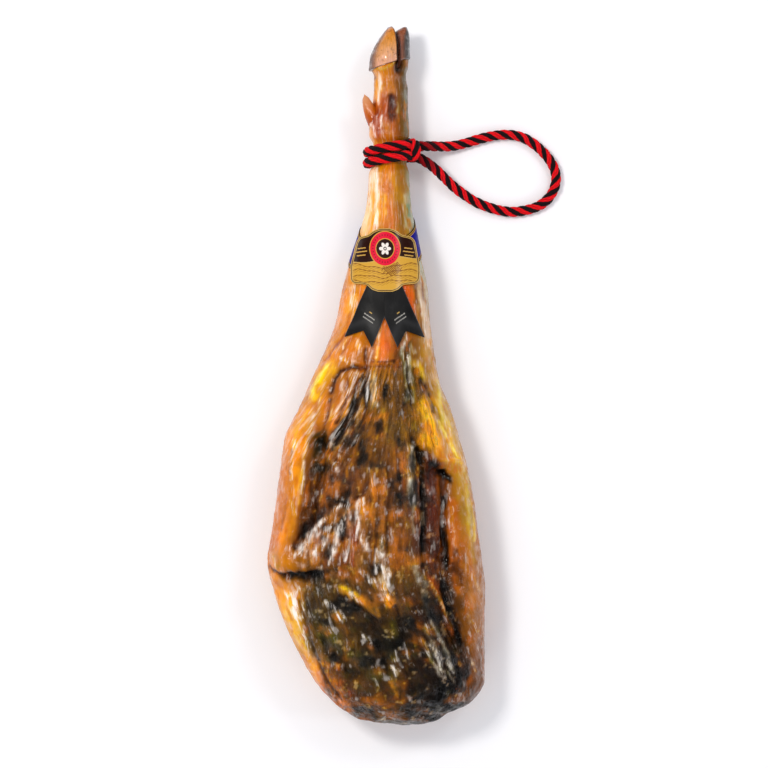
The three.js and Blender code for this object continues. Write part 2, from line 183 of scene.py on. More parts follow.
def distance_to(line: Table, x: np.ndarray, y: np.ndarray) -> np.ndarray:
    """Distance in plan from points to a broken line.

    Args:
        line: Its corners.
        x: Points across.
        y: Points along.

    Returns:
        One distance for each point.
    """
    least = np.full(np.shape(x), np.inf)
    for (ax, ay), (bx, by) in zip(line, line[1:]):
        dx, dy = bx - ax, by - ay
        t = np.clip(((x - ax) * dx + (y - ay) * dy) / (dx * dx + dy * dy), 0, 1)
        least = np.minimum(least, np.hypot(x - ax - t * dx, y - ay - t * dy))
    return least


def unit(vectors: np.ndarray) -> np.ndarray:
    """Scale vectors to length 1.

    Args:
        vectors: Vectors in the last axis.

    Returns:
        The same directions, of unit length.
    """
    return vectors / np.maximum(np.linalg.norm(vectors, axis=-1, keepdims=True), 1e-9)


def tinted(tone: np.ndarray, code: str, share: np.ndarray) -> np.ndarray:
    """Cover tones with one tone.

    Args:
        tone: The tones under it.
        code: The covering tone.
        share: How far it covers them.

    Returns:
        The blended tones.
    """
    return tone * (1 - share) + srgb(code) * share


def grid_normals(grid: np.ndarray, wrap: bool) -> np.ndarray:
    """Normals of a grid of points, as the cross product of its two directions.

    Args:
        grid: Rows by columns by 3.
        wrap: True where the columns close on themselves.

    Returns:
        Unit normals of the same shape.
    """
    along = np.gradient(grid, axis=0)
    padded = np.concatenate([grid[:, -1:], grid, grid[:, :1]], axis=1) if wrap else grid
    across = np.gradient(padded, axis=1)
    across = across[:, 1:-1] if wrap else across
    return unit(np.cross(along, across))


def resample(points: np.ndarray, step: float) -> np.ndarray:
    """Catmull-Rom curve through points, at even spacing.

    Args:
        points: N by 3 points.
        step: The spacing wanted.

    Returns:
        M by 3 points, both ends included.
    """
    p = np.concatenate([[2 * points[0] - points[1]], points, [2 * points[-1] - points[-2]]])
    u = np.linspace(0, len(points) - 1, 40 * len(points))
    i = np.minimum(u.astype(int), len(points) - 2)
    t = (u - i)[:, None]
    a, b, c, d = p[i], p[i + 1], p[i + 2], p[i + 3]
    dense = 0.5 * (2 * b + (c - a) * t + (2 * a - 5 * b + 4 * c - d) * t**2 + (3 * b - a - 3 * c + d) * t**3)
    along = np.concatenate([[0], np.cumsum(np.linalg.norm(np.diff(dense, axis=0), axis=1))])
    places = np.linspace(0, along[-1], max(4, int(round(along[-1] / step)) + 1))
    return np.stack([np.interp(places, along, dense[:, k]) for k in range(3)], axis=1)


# ---------------------------------------------------------------- meshes


@dataclass
class Surface:
    """Points and faces gathered from grids, with values kept at the points.

    Attributes:
        points: Blocks of points, in millimetres.
        quads: Blocks of four-cornered faces.
        triangles: Blocks of three-cornered faces.
        values: Blocks of values for each named attribute.
    """

    points: list[np.ndarray] = field(default_factory=list)
    quads: list[np.ndarray] = field(default_factory=list)
    triangles: list[np.ndarray] = field(default_factory=list)
    values: dict[str, list[np.ndarray]] = field(default_factory=dict)

    def count(self) -> int:
        """Number of points so far.

        Returns:
            The number of points.
        """
        return sum(len(block) for block in self.points)

    def grid(self, points: np.ndarray, wrap_rows=False, wrap_columns=False, caps=False, **values) -> None:
        """Add a grid of points, joined by quads.

        Args:
            points: Rows by columns by 3.
            wrap_rows: Close the last row on the first.
            wrap_columns: Close the last column on the first.
            caps: Close the first and last rows with a fan to their middle.
            **values: Values for each point, by attribute name.
        """
        rows, columns = points.shape[:2]
        start = self.count()
        index = start + np.arange(rows * columns).reshape(rows, columns)
        down = np.roll(index, -1, axis=0) if wrap_rows else index[1:]
        here = index if wrap_rows else index[:-1]
        if wrap_columns:
            corners = (here, np.roll(here, -1, 1), np.roll(down, -1, 1), down)
        else:
            corners = (here[:, :-1], here[:, 1:], down[:, 1:], down[:, :-1])
        self.quads.append(np.stack([c.ravel() for c in corners], axis=1))
        block = [points.reshape(-1, 3)]
        parts = {name: [np.asarray(v, float).reshape(rows * columns, -1)] for name, v in values.items()}
        if caps:
            block.append(np.stack([points[0].mean(0), points[-1].mean(0)]))
            for name, v in values.items():
                ends = np.asarray(v, float).reshape(rows, columns, -1)[[0, -1]].mean(axis=1)
                parts[name].append(ends)
            for ring, pole, flip in ((index[0], start + rows * columns, True),
                                     (index[-1], start + rows * columns + 1, False)):
                after = np.roll(ring, -1)
                pair = (after, ring) if flip else (ring, after)
                self.triangles.append(np.stack([*pair, np.full(columns, pole)], axis=1))
        self.points.append(np.concatenate(block))
        for name, chunks in parts.items():
            self.values.setdefault(name, []).append(np.concatenate(chunks))

    def sheet(self, outer: np.ndarray, inner: np.ndarray, closed=False, **values) -> None:
        """Add a thin closed sheet between two grids, with its edges.

        Args:
            outer: The outer face, rows by columns by 3.
            inner: The inner face, of the same shape.
            closed: True where the rows run round in a ring.
            **values: Values for each point of the outer face, used on both.
        """
        loop = np.concatenate([outer, inner[:, ::-1]], axis=1)
        doubled = {}
        for name, v in values.items():
            v = np.asarray(v, float).reshape(*outer.shape[:2], -1)
            doubled[name] = np.concatenate([v, v[:, ::-1]], axis=1)
        self.grid(loop, wrap_rows=closed, wrap_columns=True, **doubled)
        if closed:
            return
        rows, columns = loop.shape[:2]
        base = self.count() - rows * columns
        half = columns // 2
        for row, flip in ((0, True), (rows - 1, False)):
            ids = base + row * columns + np.arange(columns)
            face, back = ids[:half], ids[half:][::-1]
            strip = np.stack([face[:-1], face[1:], back[1:], back[:-1]], axis=1)
            self.quads.append(strip[:, ::-1] if flip else strip)

    def build(self, name: str) -> bpy.types.Object:
        """Make the Blender object, with its faces outward.

        Args:
            name: The object's name.

        Returns:
            The linked object, at the origin.
        """
        points = np.concatenate(self.points) * MM
        quads = np.concatenate(self.quads)
        tris = np.concatenate(self.triangles) if self.triangles else np.zeros((0, 3), int)
        a, b, c = (points[quads[:, k]] for k in (0, 1, 2))
        d = points[quads[:, 3]]
        volume = sum(np.einsum("ij,ij->i", a, np.cross(*pair)).sum() for pair in ((b, c), (c, d)))
        if len(tris):
            e, f, g = (points[tris[:, k]] for k in (0, 1, 2))
            volume += np.einsum("ij,ij->i", e, np.cross(f, g)).sum()
        if volume < 0:
            quads, tris = quads[:, ::-1], tris[:, ::-1]
        mesh = bpy.data.meshes.new(name)
        mesh.vertices.add(len(points))
        mesh.vertices.foreach_set("co", points.astype(np.float32).ravel())
        mesh.loops.add(quads.size + tris.size)
        mesh.loops.foreach_set("vertex_index", np.concatenate([quads.ravel(), tris.ravel()]).astype(np.int32))
        mesh.polygons.add(len(quads) + len(tris))
        starts = np.concatenate([np.arange(len(quads)) * 4, quads.size + np.arange(len(tris)) * 3])
        mesh.polygons.foreach_set("loop_start", starts.astype(np.int32))
        mesh.update(calc_edges=True)
        mesh.validate()
        mesh.polygons.foreach_set("use_smooth", np.ones(len(mesh.polygons), bool))
        for key, chunks in self.values.items():
            data = np.concatenate(chunks)
            if key == "paint":
                colour = np.concatenate([linear(data), np.ones((len(data), 1))], axis=1)
                layer = mesh.attributes.new(key, "FLOAT_COLOR", "POINT")
                layer.data.foreach_set("color", colour.astype(np.float32).ravel())
            elif data.shape[1] == 3:
                layer = mesh.attributes.new(key, "FLOAT_VECTOR", "POINT")
                layer.data.foreach_set("vector", data.astype(np.float32).ravel())
            else:
                layer = mesh.attributes.new(key, "FLOAT", "POINT")
                layer.data.foreach_set("value", data[:, 0].astype(np.float32))
        made = bpy.data.objects.new(name, mesh)
        bpy.context.scene.collection.objects.link(made)
        LOG.info("%s: %d faces", name, len(mesh.polygons))
        return made


def place(piece: bpy.types.Object, material: bpy.types.Material, slot: Slot, *nodes: str) -> bpy.types.Object:
    """Give a finished piece its material and its part in the frame.

    Args:
        piece: The object.
        material: Its material.
        slot: The record's material slot; not used.
        *nodes: The CAD nodes that it stands for.

    Returns:
        The same object.
    """
    piece.data.materials.append(material)
    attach(piece, "root")
    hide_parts(*nodes)
    return piece


# ---------------------------------------------------------------- shader nodes


@dataclass
class Graph:
    """A node tree that is filled by short calls.

    Attributes:
        tree: The shader or group tree.
    """

    tree: bpy.types.NodeTree

    def add(self, kind: str, inputs: dict | None = None, **settings) -> bpy.types.Node:
        """Add a node.

        Args:
            kind: Its Blender type name, without the ShaderNode prefix.
            inputs: Sockets to link or values to set, by socket name or number.
            **settings: Attributes of the node.

        Returns:
            The node.
        """
        node = self.tree.nodes.new("ShaderNode" + kind)
        for key, value in settings.items():
            setattr(node, key, value)
        for key, value in (inputs or {}).items():
            socket = node.inputs[key]
            if isinstance(value, bpy.types.NodeSocket):
                self.tree.links.new(value, socket)
            else:
                socket.default_value = value
        return node

    def math(self, operation: str, *values) -> bpy.types.NodeSocket:
        """Add a math node.

        Args:
            operation: Its operation.
            *values: One or two sockets or numbers.

        Returns:
            Its output.
        """
        return self.add("Math", dict(enumerate(values)), operation=operation).outputs[0]

    def times(self, first, second) -> bpy.types.NodeSocket:
        """Multiply two sockets or numbers.

        Args:
            first: One of them.
            second: The other.

        Returns:
            Their product.
        """
        return self.math("MULTIPLY", first, second)

    def plus(self, first, second) -> bpy.types.NodeSocket:
        """Add two sockets or numbers.

        Args:
            first: One of them.
            second: The other.

        Returns:
            Their sum.
        """
        return self.math("ADD", first, second)

    def minus(self, first, second) -> bpy.types.NodeSocket:
        """Take one socket or number from another.

        Args:
            first: What is taken from.
            second: What is taken.

        Returns:
            The difference.
        """
        return self.math("SUBTRACT", first, second)

    def shaded(self, tone, shade) -> bpy.types.NodeSocket:
        """Multiply a colour by a grey value.

        Args:
            tone: The colour.
            shade: The value.

        Returns:
            The shaded colour.
        """
        level = self.add("CombineColor", {0: shade, 1: shade, 2: shade}).outputs[0]
        return self.mix(1.0, tone, level, "MULTIPLY")

    def link(self, value: bpy.types.NodeSocket, node: bpy.types.Node, *sockets: str) -> None:
        """Link a value to sockets of a node.

        Args:
            value: The value.
            node: The node.
            *sockets: Names of its sockets.
        """
        for socket in sockets:
            self.tree.links.new(value, node.inputs[socket])

    def mix(self, factor, first, second, blend: str = "MIX") -> bpy.types.NodeSocket:
        """Mix two colours.

        Args:
            factor: Socket or number.
            first: Socket or colour.
            second: Socket or colour.
            blend: How the second acts on the first.

        Returns:
            The mixed colour.
        """
        node = self.add("Mix", {0: factor, 6: first, 7: second}, data_type="RGBA", blend_type=blend)
        return node.outputs[2]

    def remap(self, value, low: float, high: float, to_low: float = 0.0, to_high: float = 1.0):
        """Map a range of values smoothly onto another.

        Args:
            value: The socket to map.
            low: Start of its range.
            high: End of its range.
            to_low: Result at the start.
            to_high: Result at the end.

        Returns:
            The mapped value.
        """
        node = self.add("MapRange", {0: value, 1: low, 2: high, 3: to_low, 4: to_high},
                        interpolation_type="SMOOTHSTEP")
        return node.outputs[0]


class Effects:
    """Node groups shared by the materials."""

    def __init__(self) -> None:
        """Build every group once."""
        self.grain = self._grain()
        self.mottle = self._mottle()
        self.film = self._film()
        self.pores = self._pores()

    @staticmethod
    def _start(name: str, inputs: dict[str, float | None], outputs: tuple[str, ...]):
        """Make an empty group with its sockets.

        Args:
            name: The group's name.
            inputs: Default of each float input, or None for a vector.
            outputs: Names of the float outputs.

        Returns:
            The group, its graph, its input node and its output node.
        """
        group = bpy.data.node_groups.new(name, "ShaderNodeTree")
        for key, default in inputs.items():
            kind = "NodeSocketVector" if default is None else "NodeSocketFloat"
            socket = group.interface.new_socket(key, in_out="INPUT", socket_type=kind)
            if default is not None:
                socket.default_value = default
        for key in outputs:
            group.interface.new_socket(key, in_out="OUTPUT", socket_type="NodeSocketFloat")
        given = group.nodes.new("NodeGroupInput")
        made = group.nodes.new("NodeGroupOutput")
        return group, Graph(group), given, made

    def _grain(self):
        """Long fibres along Y: stretched noise, sharpened.

        Returns:
            The group.
        """
        group, g, given, made = self._start("FibreGrain", {"Vector": None, "Scale": 400.0}, ("Fibre",))
        stretched = g.add("Mapping", {"Vector": given.outputs["Vector"], "Scale": (1.0, 0.1, 0.7)})
        noise = g.add("TexNoise", {"Vector": stretched.outputs[0], "Scale": given.outputs["Scale"],
                                   "Detail": 4.0, "Roughness": 0.62, "Distortion": 0.5})
        group.links.new(g.remap(noise.outputs[0], 0.28, 0.72), made.inputs["Fibre"])
        return group

    def _mottle(self):
        """Irregular patches with ragged borders.

        Returns:
            The group.
        """
        group, g, given, made = self._start(
            "Mottle", {"Vector": None, "Scale": 60.0, "Amount": 0.5}, ("Patches",))
        noise = g.add("TexNoise", {"Vector": given.outputs["Vector"], "Scale": given.outputs["Scale"],
                                   "Detail": 6.0, "Roughness": 0.68, "Distortion": 0.7})
        low = g.minus(0.78, g.times(given.outputs["Amount"], 0.4))
        high = g.plus(low, 0.12)
        node = g.add("MapRange", {0: noise.outputs[0], 1: low, 2: high}, interpolation_type="SMOOTHSTEP")
        group.links.new(node.outputs[0], made.inputs["Patches"])
        return group

    def _film(self):
        """An uneven film of fat or varnish: roughness and coat that vary in smears.

        Returns:
            The group.
        """
        group, g, given, made = self._start(
            "OilFilm", {"Vector": None, "Scale": 90.0, "Dry": 0.5, "Wet": 0.2}, ("Roughness", "Coat"))
        noise = g.add("TexNoise", {"Vector": given.outputs["Vector"], "Scale": given.outputs["Scale"],
                                   "Detail": 3.0, "Roughness": 0.55, "Distortion": 0.3})
        smear = g.remap(noise.outputs[0], 0.38, 0.62)
        span = g.minus(given.outputs["Dry"], given.outputs["Wet"])
        rough = g.minus(given.outputs["Dry"], g.times(smear, span))
        group.links.new(rough, made.inputs["Roughness"])
        group.links.new(g.plus(g.times(smear, 0.65), 0.25), made.inputs["Coat"])
        return group

    def _pores(self):
        """Small round pits.

        Returns:
            The group.
        """
        group, g, given, made = self._start("Pores", {"Vector": None, "Scale": 500.0}, ("Height",))
        cells = g.add("TexVoronoi", {"Vector": given.outputs["Vector"], "Scale": given.outputs["Scale"],
                                     "Randomness": 1.0}, feature="F1")
        group.links.new(g.remap(cells.outputs["Distance"], 0.0, 0.42), made.inputs["Height"])
        return group


@dataclass(frozen=True)
class Finish:
    """Sizes and tones that every finish has.

    Attributes:
        name: The material's name.
        specular: Strength of the plain reflection.
        coat_roughness: Roughness of the clear film.
    """

    name: str
    specular: float = 0.5
    coat_roughness: float = 0.1

    def start(self) -> tuple[bpy.types.Material, Graph, bpy.types.Node, bpy.types.NodeSocket]:
        """Make the material with its surface node.

        Returns:
            The material, its graph, its surface node and the object coordinates.
        """
        material = bpy.data.materials.new(self.name)
        material.use_nodes = True
        material.node_tree.nodes.clear()
        g = Graph(material.node_tree)
        surface = g.add("BsdfPrincipled", {"Specular IOR Level": self.specular,
                                           "Coat Roughness": self.coat_roughness})
        out = g.add("OutputMaterial")
        material.node_tree.links.new(surface.outputs[0], out.inputs[0])
        return material, g, surface, g.add("TexCoord").outputs["Object"]

    @staticmethod
    def effect(g: Graph, group: bpy.types.NodeTree, **inputs) -> bpy.types.Node:
        """Use a shared group.

        Args:
            g: The material's graph.
            group: The group.
            **inputs: Its inputs by name.

        Returns:
            The group node.
        """
        node = g.tree.nodes.new("ShaderNodeGroup")
        node.node_tree = group
        for key, value in inputs.items():
            if isinstance(value, bpy.types.NodeSocket):
                g.tree.links.new(value, node.inputs[key])
            else:
                node.inputs[key].default_value = value
        return node

    def filmed(self, g: Graph, shared: Effects, surface: bpy.types.Node, at: bpy.types.NodeSocket,
               scale: float, dry: float, wet: float) -> bpy.types.NodeSocket:
        """Give the surface the roughness of an uneven film.

        Args:
            g: The material's graph.
            shared: The shared groups.
            surface: The surface node.
            at: Object coordinates.
            scale: Scale of the smears.
            dry: Roughness between them.
            wet: Roughness on them.

        Returns:
            The weight of the film's clear coat.
        """
        film = self.effect(g, shared.film, Vector=at, Scale=scale, Dry=dry, Wet=wet)
        g.link(film.outputs["Roughness"], surface, "Roughness")
        return film.outputs["Coat"]

    @staticmethod
    def paint(g: Graph, name: str = "paint") -> bpy.types.Node:
        """Read an attribute of the mesh.

        Args:
            g: The material's graph.
            name: The attribute.

        Returns:
            The attribute node.
        """
        return g.add("Attribute", attribute_name=name)

    @staticmethod
    def bumps(g: Graph, *layers: tuple) -> bpy.types.NodeSocket:
        """Stack bump layers.

        Args:
            g: The material's graph.
            *layers: Height socket, strength and distance in metres of each.

        Returns:
            The normal of the last layer.
        """
        normal = None
        for height, strength, distance in layers:
            inputs = {"Height": height, "Strength": strength, "Distance": distance}
            if normal is not None:
                inputs["Normal"] = normal
            normal = g.add("Bump", inputs).outputs[0]
        return normal


@dataclass(frozen=True)
class MeatFinish(Finish):
    """Cured meat, fat and skin: painted tones under fibres, mould specks, painted highlight streaks and an
    oil film.

    Attributes:
        contrast: Gamma of the tones.
        hue: Turn of the hue, 0.5 for none.
        saturation: Gain of the colour.
        gleam: Tone of the painted highlight streaks.
        mould: Tone of the dark patches.
        ember: Tone of the warm patches.
        bloom: Tone of the pale specks.
    """

    name: str = "CuredMeat"
    specular: float = 0.12
    coat_roughness: float = 0.14
    contrast: float = 1.2
    hue: float = 0.512
    saturation: float = 1.16
    gleam: str = "FFF6EE"
    mould: str = "3C300C"
    ember: str = "9C3A0E"
    bloom: str = "E8D2A8"

    def build(self, shared: Effects) -> bpy.types.Material:
        """Make the material.

        Args:
            shared: The shared groups.

        Returns:
            The material.
        """
        material, g, surface, at = self.start()
        tone = self.paint(g).outputs["Color"]
        raw = self.paint(g, "meat").outputs["Fac"]
        flow = self.paint(g, "flow").outputs["Vector"]
        skin = g.minus(1.0, raw)
        fibre = self.effect(g, shared.grain, Vector=flow, Scale=420.0).outputs[0]
        fine = self.effect(g, shared.grain, Vector=flow, Scale=1300.0).outputs[0]
        patches = self.effect(g, shared.mottle, Vector=at, Scale=75.0, Amount=0.5).outputs[0]
        embers = self.effect(g, shared.mottle, Vector=at, Scale=120.0, Amount=0.42).outputs[0]
        specks = self.effect(g, shared.mottle, Vector=at, Scale=330.0, Amount=0.3).outputs[0]
        pores = self.effect(g, shared.pores, Vector=at, Scale=620.0).outputs[0]
        tone = g.mix(g.times(patches, g.times(raw, 0.5)), tone, rgba(self.mould))
        tone = g.mix(g.times(embers, g.times(raw, 0.3)), tone, rgba(self.ember))
        tone = g.mix(g.times(specks, 0.12), tone, rgba(self.bloom))
        shade = g.plus(0.55, g.times(fibre, 0.7))
        shade = g.plus(g.times(shade, g.plus(0.1, g.times(raw, 0.75))),
                       g.minus(0.9, g.times(raw, 0.75)))
        tone = g.shaded(tone, shade)
        deep = g.add("Gamma", {"Color": tone, "Gamma": self.contrast}).outputs[0]
        vivid = g.add("HueSaturation", {"Color": deep, "Hue": self.hue, "Saturation": self.saturation})
        # Painted highlight: where the gleam mask is set, pale streaks along the fibres are mixed into the
        # base colour.
        streaks = self.effect(g, shared.grain, Vector=flow, Scale=480.0).outputs[0]
        wet = g.times(self.paint(g, "wet").outputs["Fac"], g.remap(streaks, 0.35, 0.7))
        lit = g.mix(wet, vivid.outputs[0], rgba(self.gleam))
        g.link(lit, surface, "Base Color")
        coat = self.filmed(g, shared, surface, at, 110.0, 0.5, 0.3)
        g.link(coat, surface, "Coat Weight")
        lumps = g.add("TexNoise", {"Vector": at, "Scale": 170.0, "Detail": 4.0, "Roughness": 0.6}).outputs[0]
        bands = self.effect(g, shared.grain, Vector=flow, Scale=150.0).outputs[0]
        strength = g.plus(0.18, g.times(raw, 0.75))
        normal = self.bumps(
            g, (bands, strength, 0.0034), (lumps, strength, 0.003), (fibre, strength, 0.0009),
            (fine, g.times(strength, 0.6), 0.0003), (pores, g.times(skin, 0.35), 0.0003))
        g.link(normal, surface, "Normal", "Coat Normal")
        return material


@dataclass(frozen=True)
class HornFinish(Finish):
    """Amber horn with growth lines along it and a waxed gloss.

    Attributes:
        stain: Tone of the stains and lines.
    """

    name: str = "Horn"
    specular: float = 0.5
    coat_roughness: float = 0.12
    stain: str = "3C1606"

    def build(self, shared: Effects) -> bpy.types.Material:
        """Make the material.

        Args:
            shared: The shared groups.

        Returns:
            The material.
        """
        material, g, surface, at = self.start()
        tone = self.paint(g).outputs["Color"]
        lines = self.effect(g, shared.grain, Vector=at, Scale=700.0).outputs[0]
        stains = self.effect(g, shared.mottle, Vector=at, Scale=180.0, Amount=0.55).outputs[0]
        pores = self.effect(g, shared.pores, Vector=at, Scale=900.0).outputs[0]
        tone = g.mix(g.times(stains, 0.5), tone, rgba(self.stain))
        tone = g.mix(g.times(g.minus(1.0, lines), 0.35), tone, rgba(self.stain))
        g.link(tone, surface, "Base Color")
        coat = self.filmed(g, shared, surface, at, 200.0, 0.45, 0.25)
        g.link(coat, surface, "Coat Weight")
        normal = self.bumps(g, (lines, 0.5, 0.0005), (pores, 0.25, 0.0002))
        g.link(normal, surface, "Normal")
        return material


@dataclass(frozen=True)
class RopeFinish(Finish):
    """Dyed soft cord: yarns wound against the strand, with fuzz and worn spots.

    Attributes:
        worn: Tone of the worn spots.
        sheen: Weight of the fibres' sheen.
        yarns: Yarns round a strand.
        wind: Radians by which a yarn turns in a millimetre.
    """

    name: str = "TwistedCord"
    specular: float = 0.06
    coat_roughness: float = 0.4
    worn: str = "6A3A34"
    sheen: float = 0.03
    yarns: int = 5
    wind: float = 1.3

    def build(self, shared: Effects) -> bpy.types.Material:
        """Make the material.

        Args:
            shared: The shared groups.

        Returns:
            The material.
        """
        material, g, surface, at = self.start()
        tone = self.paint(g).outputs["Color"]
        wound = g.add("SeparateXYZ", {0: self.paint(g, "lay").outputs["Vector"]})
        phase = g.plus(g.times(wound.outputs[0], self.wind),
                       g.times(wound.outputs[1], 2 * math.pi * self.yarns))
        yarn = g.plus(0.5, g.times(g.math("SINE", phase), 0.5))
        fuzz = g.add("TexNoise", {"Vector": at, "Scale": 1900.0, "Detail": 3.0, "Roughness": 0.7}).outputs[0]
        worn = self.effect(g, shared.mottle, Vector=at, Scale=260.0, Amount=0.35).outputs[0]
        shade = g.plus(0.62, g.plus(g.times(yarn, 0.3), g.times(fuzz, 0.35)))
        tone = g.shaded(tone, shade)
        tone = g.mix(g.times(worn, 0.08), tone, rgba(self.worn))
        g.link(tone, surface, "Base Color")
        g.link(g.remap(fuzz, 0.3, 0.7, 0.6, 0.85), surface, "Roughness")
        surface.inputs["Sheen Weight"].default_value = self.sheen
        normal = self.bumps(g, (yarn, 0.8, 0.0006), (fuzz, 0.6, 0.0004))
        g.link(normal, surface, "Normal")
        return material


@dataclass(frozen=True)
class PaperFinish(Finish):
    """Printed paper or card: painted print, paper tooth, small scuffs and a varnish.

    Attributes:
        scuff: Tone of the scuffs.
        tooth: Strength of the paper's grain.
        varnish: Share of the film's clear coat.
    """

    name: str = "PrintedPaper"
    specular: float = 0.5
    coat_roughness: float = 0.18
    scuff: str = "B8A890"
    tooth: float = 0.15
    varnish: float = 0.3

    def build(self, shared: Effects) -> bpy.types.Material:
        """Make the material.

        Args:
            shared: The shared groups.

        Returns:
            The material.
        """
        material, g, surface, at = self.start()
        tone = self.paint(g).outputs["Color"]
        ink = g.add("TexNoise", {"Vector": at, "Scale": 1400.0, "Detail": 3.0, "Roughness": 0.6}).outputs[0]
        scuffs = self.effect(g, shared.mottle, Vector=at, Scale=240.0, Amount=0.22).outputs[0]
        shade = g.plus(0.84, g.times(ink, 0.32))
        tone = g.shaded(tone, shade)
        tone = g.mix(g.times(scuffs, 0.2), tone, rgba(self.scuff))
        g.link(tone, surface, "Base Color")
        coat = self.filmed(g, shared, surface, at, 70.0, 0.5, 0.32)
        g.link(g.times(coat, self.varnish), surface, "Coat Weight")
        normal = self.bumps(g, (ink, self.tooth, 0.0002))
        g.link(normal, surface, "Normal")
        return material


@dataclass(frozen=True)
class SatinFinish(Finish):
    """Black satin: a fine cross weave with a soft sheen that follows the warp.

    Attributes:
        pitch: Spacing of the warp in metres.
        bloom: Tone of its pale patches.
        thread: Tone of its threads.
    """

    name: str = "Satin"
    specular: float = 0.22
    coat_roughness: float = 0.35
    pitch: float = 0.00045
    bloom: str = "4A4A4A"
    thread: str = "3C3C3C"

    def build(self, shared: Effects) -> bpy.types.Material:
        """Make the material.

        Args:
            shared: The shared groups.

        Returns:
            The material.
        """
        material, g, surface, at = self.start()
        tone = self.paint(g).outputs["Color"]
        parts = g.add("SeparateXYZ", {0: at})
        turn = 2 * math.pi / self.pitch
        warp = g.math("SINE", g.times(parts.outputs[0], turn))
        weft = g.math("SINE", g.times(parts.outputs[1], turn * 0.6))
        weave = g.plus(0.5, g.times(g.times(warp, weft), 0.5))
        bloom = self.effect(g, shared.mottle, Vector=at, Scale=50.0, Amount=0.6).outputs[0]
        tone = g.mix(g.times(bloom, 0.08), tone, rgba(self.bloom))
        tone = g.mix(g.times(weave, 0.08), tone, rgba(self.thread))
        g.link(tone, surface, "Base Color")
        self.filmed(g, shared, surface, at, 60.0, 0.5, 0.34)
        g.link(self.bumps(g, (weave, 0.3, 0.0001)), surface, "Normal")
        return material


@dataclass(frozen=True)
class FloorFinish(Finish):
    """Plain pale studio paper.

    Attributes:
        tone: Its tone.
        cloud: Tone of its faint clouds.
        roughness: Its roughness.
    """

    name: str = "StudioPaper"
    specular: float = 0.2
    tone: str = "F6F7FA"
    cloud: str = "EDEEF2"
    roughness: float = 0.9

    def build(self, shared: Effects) -> bpy.types.Material:
        """Make the material.

        Args:
            shared: The shared groups.

        Returns:
            The material.
        """
        material, g, surface, at = self.start()
        cloud = self.effect(g, shared.mottle, Vector=at, Scale=1.5, Amount=0.5).outputs[0]
        tone = g.mix(g.times(cloud, 0.04), rgba(self.tone), rgba(self.cloud))
        g.link(tone, surface, "Base Color")
        surface.inputs["Roughness"].default_value = self.roughness
        return material


# ---------------------------------------------------------------- the leg's form


@dataclass
class Loft:
    """A body lofted along Y from superellipse sections.

    Attributes:
        rows: Along Y, then the left and right edges, underside, top and widest height, in mm.
        upper: Squareness of the upper half of a section.
        lower: Squareness of the lower half.
    """

    rows: Table
    upper: float = 2.15
    lower: float = 2.1

    def __post_init__(self) -> None:
        """Make the curves."""
        ordered = tuple(sorted(self.rows))
        self.left, self.right, self.bottom, self.top, self.waist = (
            monotone(ordered, k) for k in range(1, 6))
        self.start, self.end = ordered[0][0], ordered[-1][0]

    def middle(self, y: np.ndarray) -> np.ndarray:
        """Middle of the section at y.

        Args:
            y: Places along the body.

        Returns:
            Places across it.
        """
        return (self.left(y) + self.right(y)) / 2

    def reach(self, y: np.ndarray) -> np.ndarray:
        """Half width of the section at y.

        Args:
            y: Places along the body.

        Returns:
            Half widths.
        """
        return (self.right(y) - self.left(y)) / 2

    def at(self, y: np.ndarray, angle: np.ndarray) -> np.ndarray:
        """Points x = m + r sgn(c)|c|^(2/p), z = w + h sgn(s)|s|^(2/p), pressed flat at the floor.

        Args:
            y: Places along the body.
            angle: Angles round it, 0 at the right and a quarter turn on top.

        Returns:
            Points of the broadcast shape, by 3.
        """
        y, angle = np.broadcast_arrays(y, angle)
        s, c = np.sin(angle), np.cos(angle)
        power = 2 / np.where(s >= 0, self.upper, self.lower)
        span = np.where(s >= 0, self.top(y) - self.waist(y), self.waist(y) - self.bottom(y))
        z = np.maximum(0, self.waist(y) + np.sign(s) * span * np.abs(s) ** power)
        x = self.middle(y) + np.sign(c) * self.reach(y) * np.abs(c) ** power
        return np.stack([x, y, z], axis=-1)


# Along Y, then the left and right edges, underside, top and widest height, as CAD has them.
LEG_ROWS: Table = (
    (-402.5, 24, 40, 50, 62, 56), (-400, 9, 53, 44, 68, 55), (-394.5, -22, 72, 34, 77, 54),
    (-387.5, -34.5, 85, 27, 85, 53), (-381, -44, 104, 20, 92, 52), (-368, -57.5, 117.3, 12, 101, 51),
    (-351, -71.3, 125.3, 5, 106, 50), (-316, -90.9, 125.3, -3, 114, 50), (-282, -107, 125.3, -6, 119, 51),
    (-247, -118.5, 125.3, -6, 122, 52), (-213, -125.3, 121.9, -6, 123, 53),
    (-178, -119.6, 117.3, -6, 123, 53),
    (-144, -115, 112.7, -6, 122, 53), (-109, -110.4, 105.8, -6, 120, 52), (-75, -105.8, 96.6, -6, 118, 51),
    (-40, -89.7, 86.3, -5, 114, 50), (-6, -74.8, 72.5, -3, 109, 49), (29, -58.7, 66.7, 0, 105, 48),
    (63, -46, 62.1, 3, 97, 46), (98, -39.1, 59.8, 6, 89, 45), (132, -29.9, 52.9, 10, 81, 44),
    (167, -18.4, 46, 14, 73, 43), (201, -10.4, 40.3, 17, 67, 42), (234, -8, 38.5, 20, 63, 41),
    (244, -3.5, 35.5, 24, 59, 41), (267, -3.2, 35, 24.5, 58.5, 41), (277, -8, 38.3, 20, 63, 41),
    (296, -8, 38, 20, 63, 41), (310, -4.6, 36.8, 21, 61, 41),
    (328, -2.3, 36.8, 22, 60, 41), (345, -2.3, 34.5, 22, 58, 41), (357, -7, 37, 21, 61, 41),
    (378, -7, 38, 22, 60, 41),
)

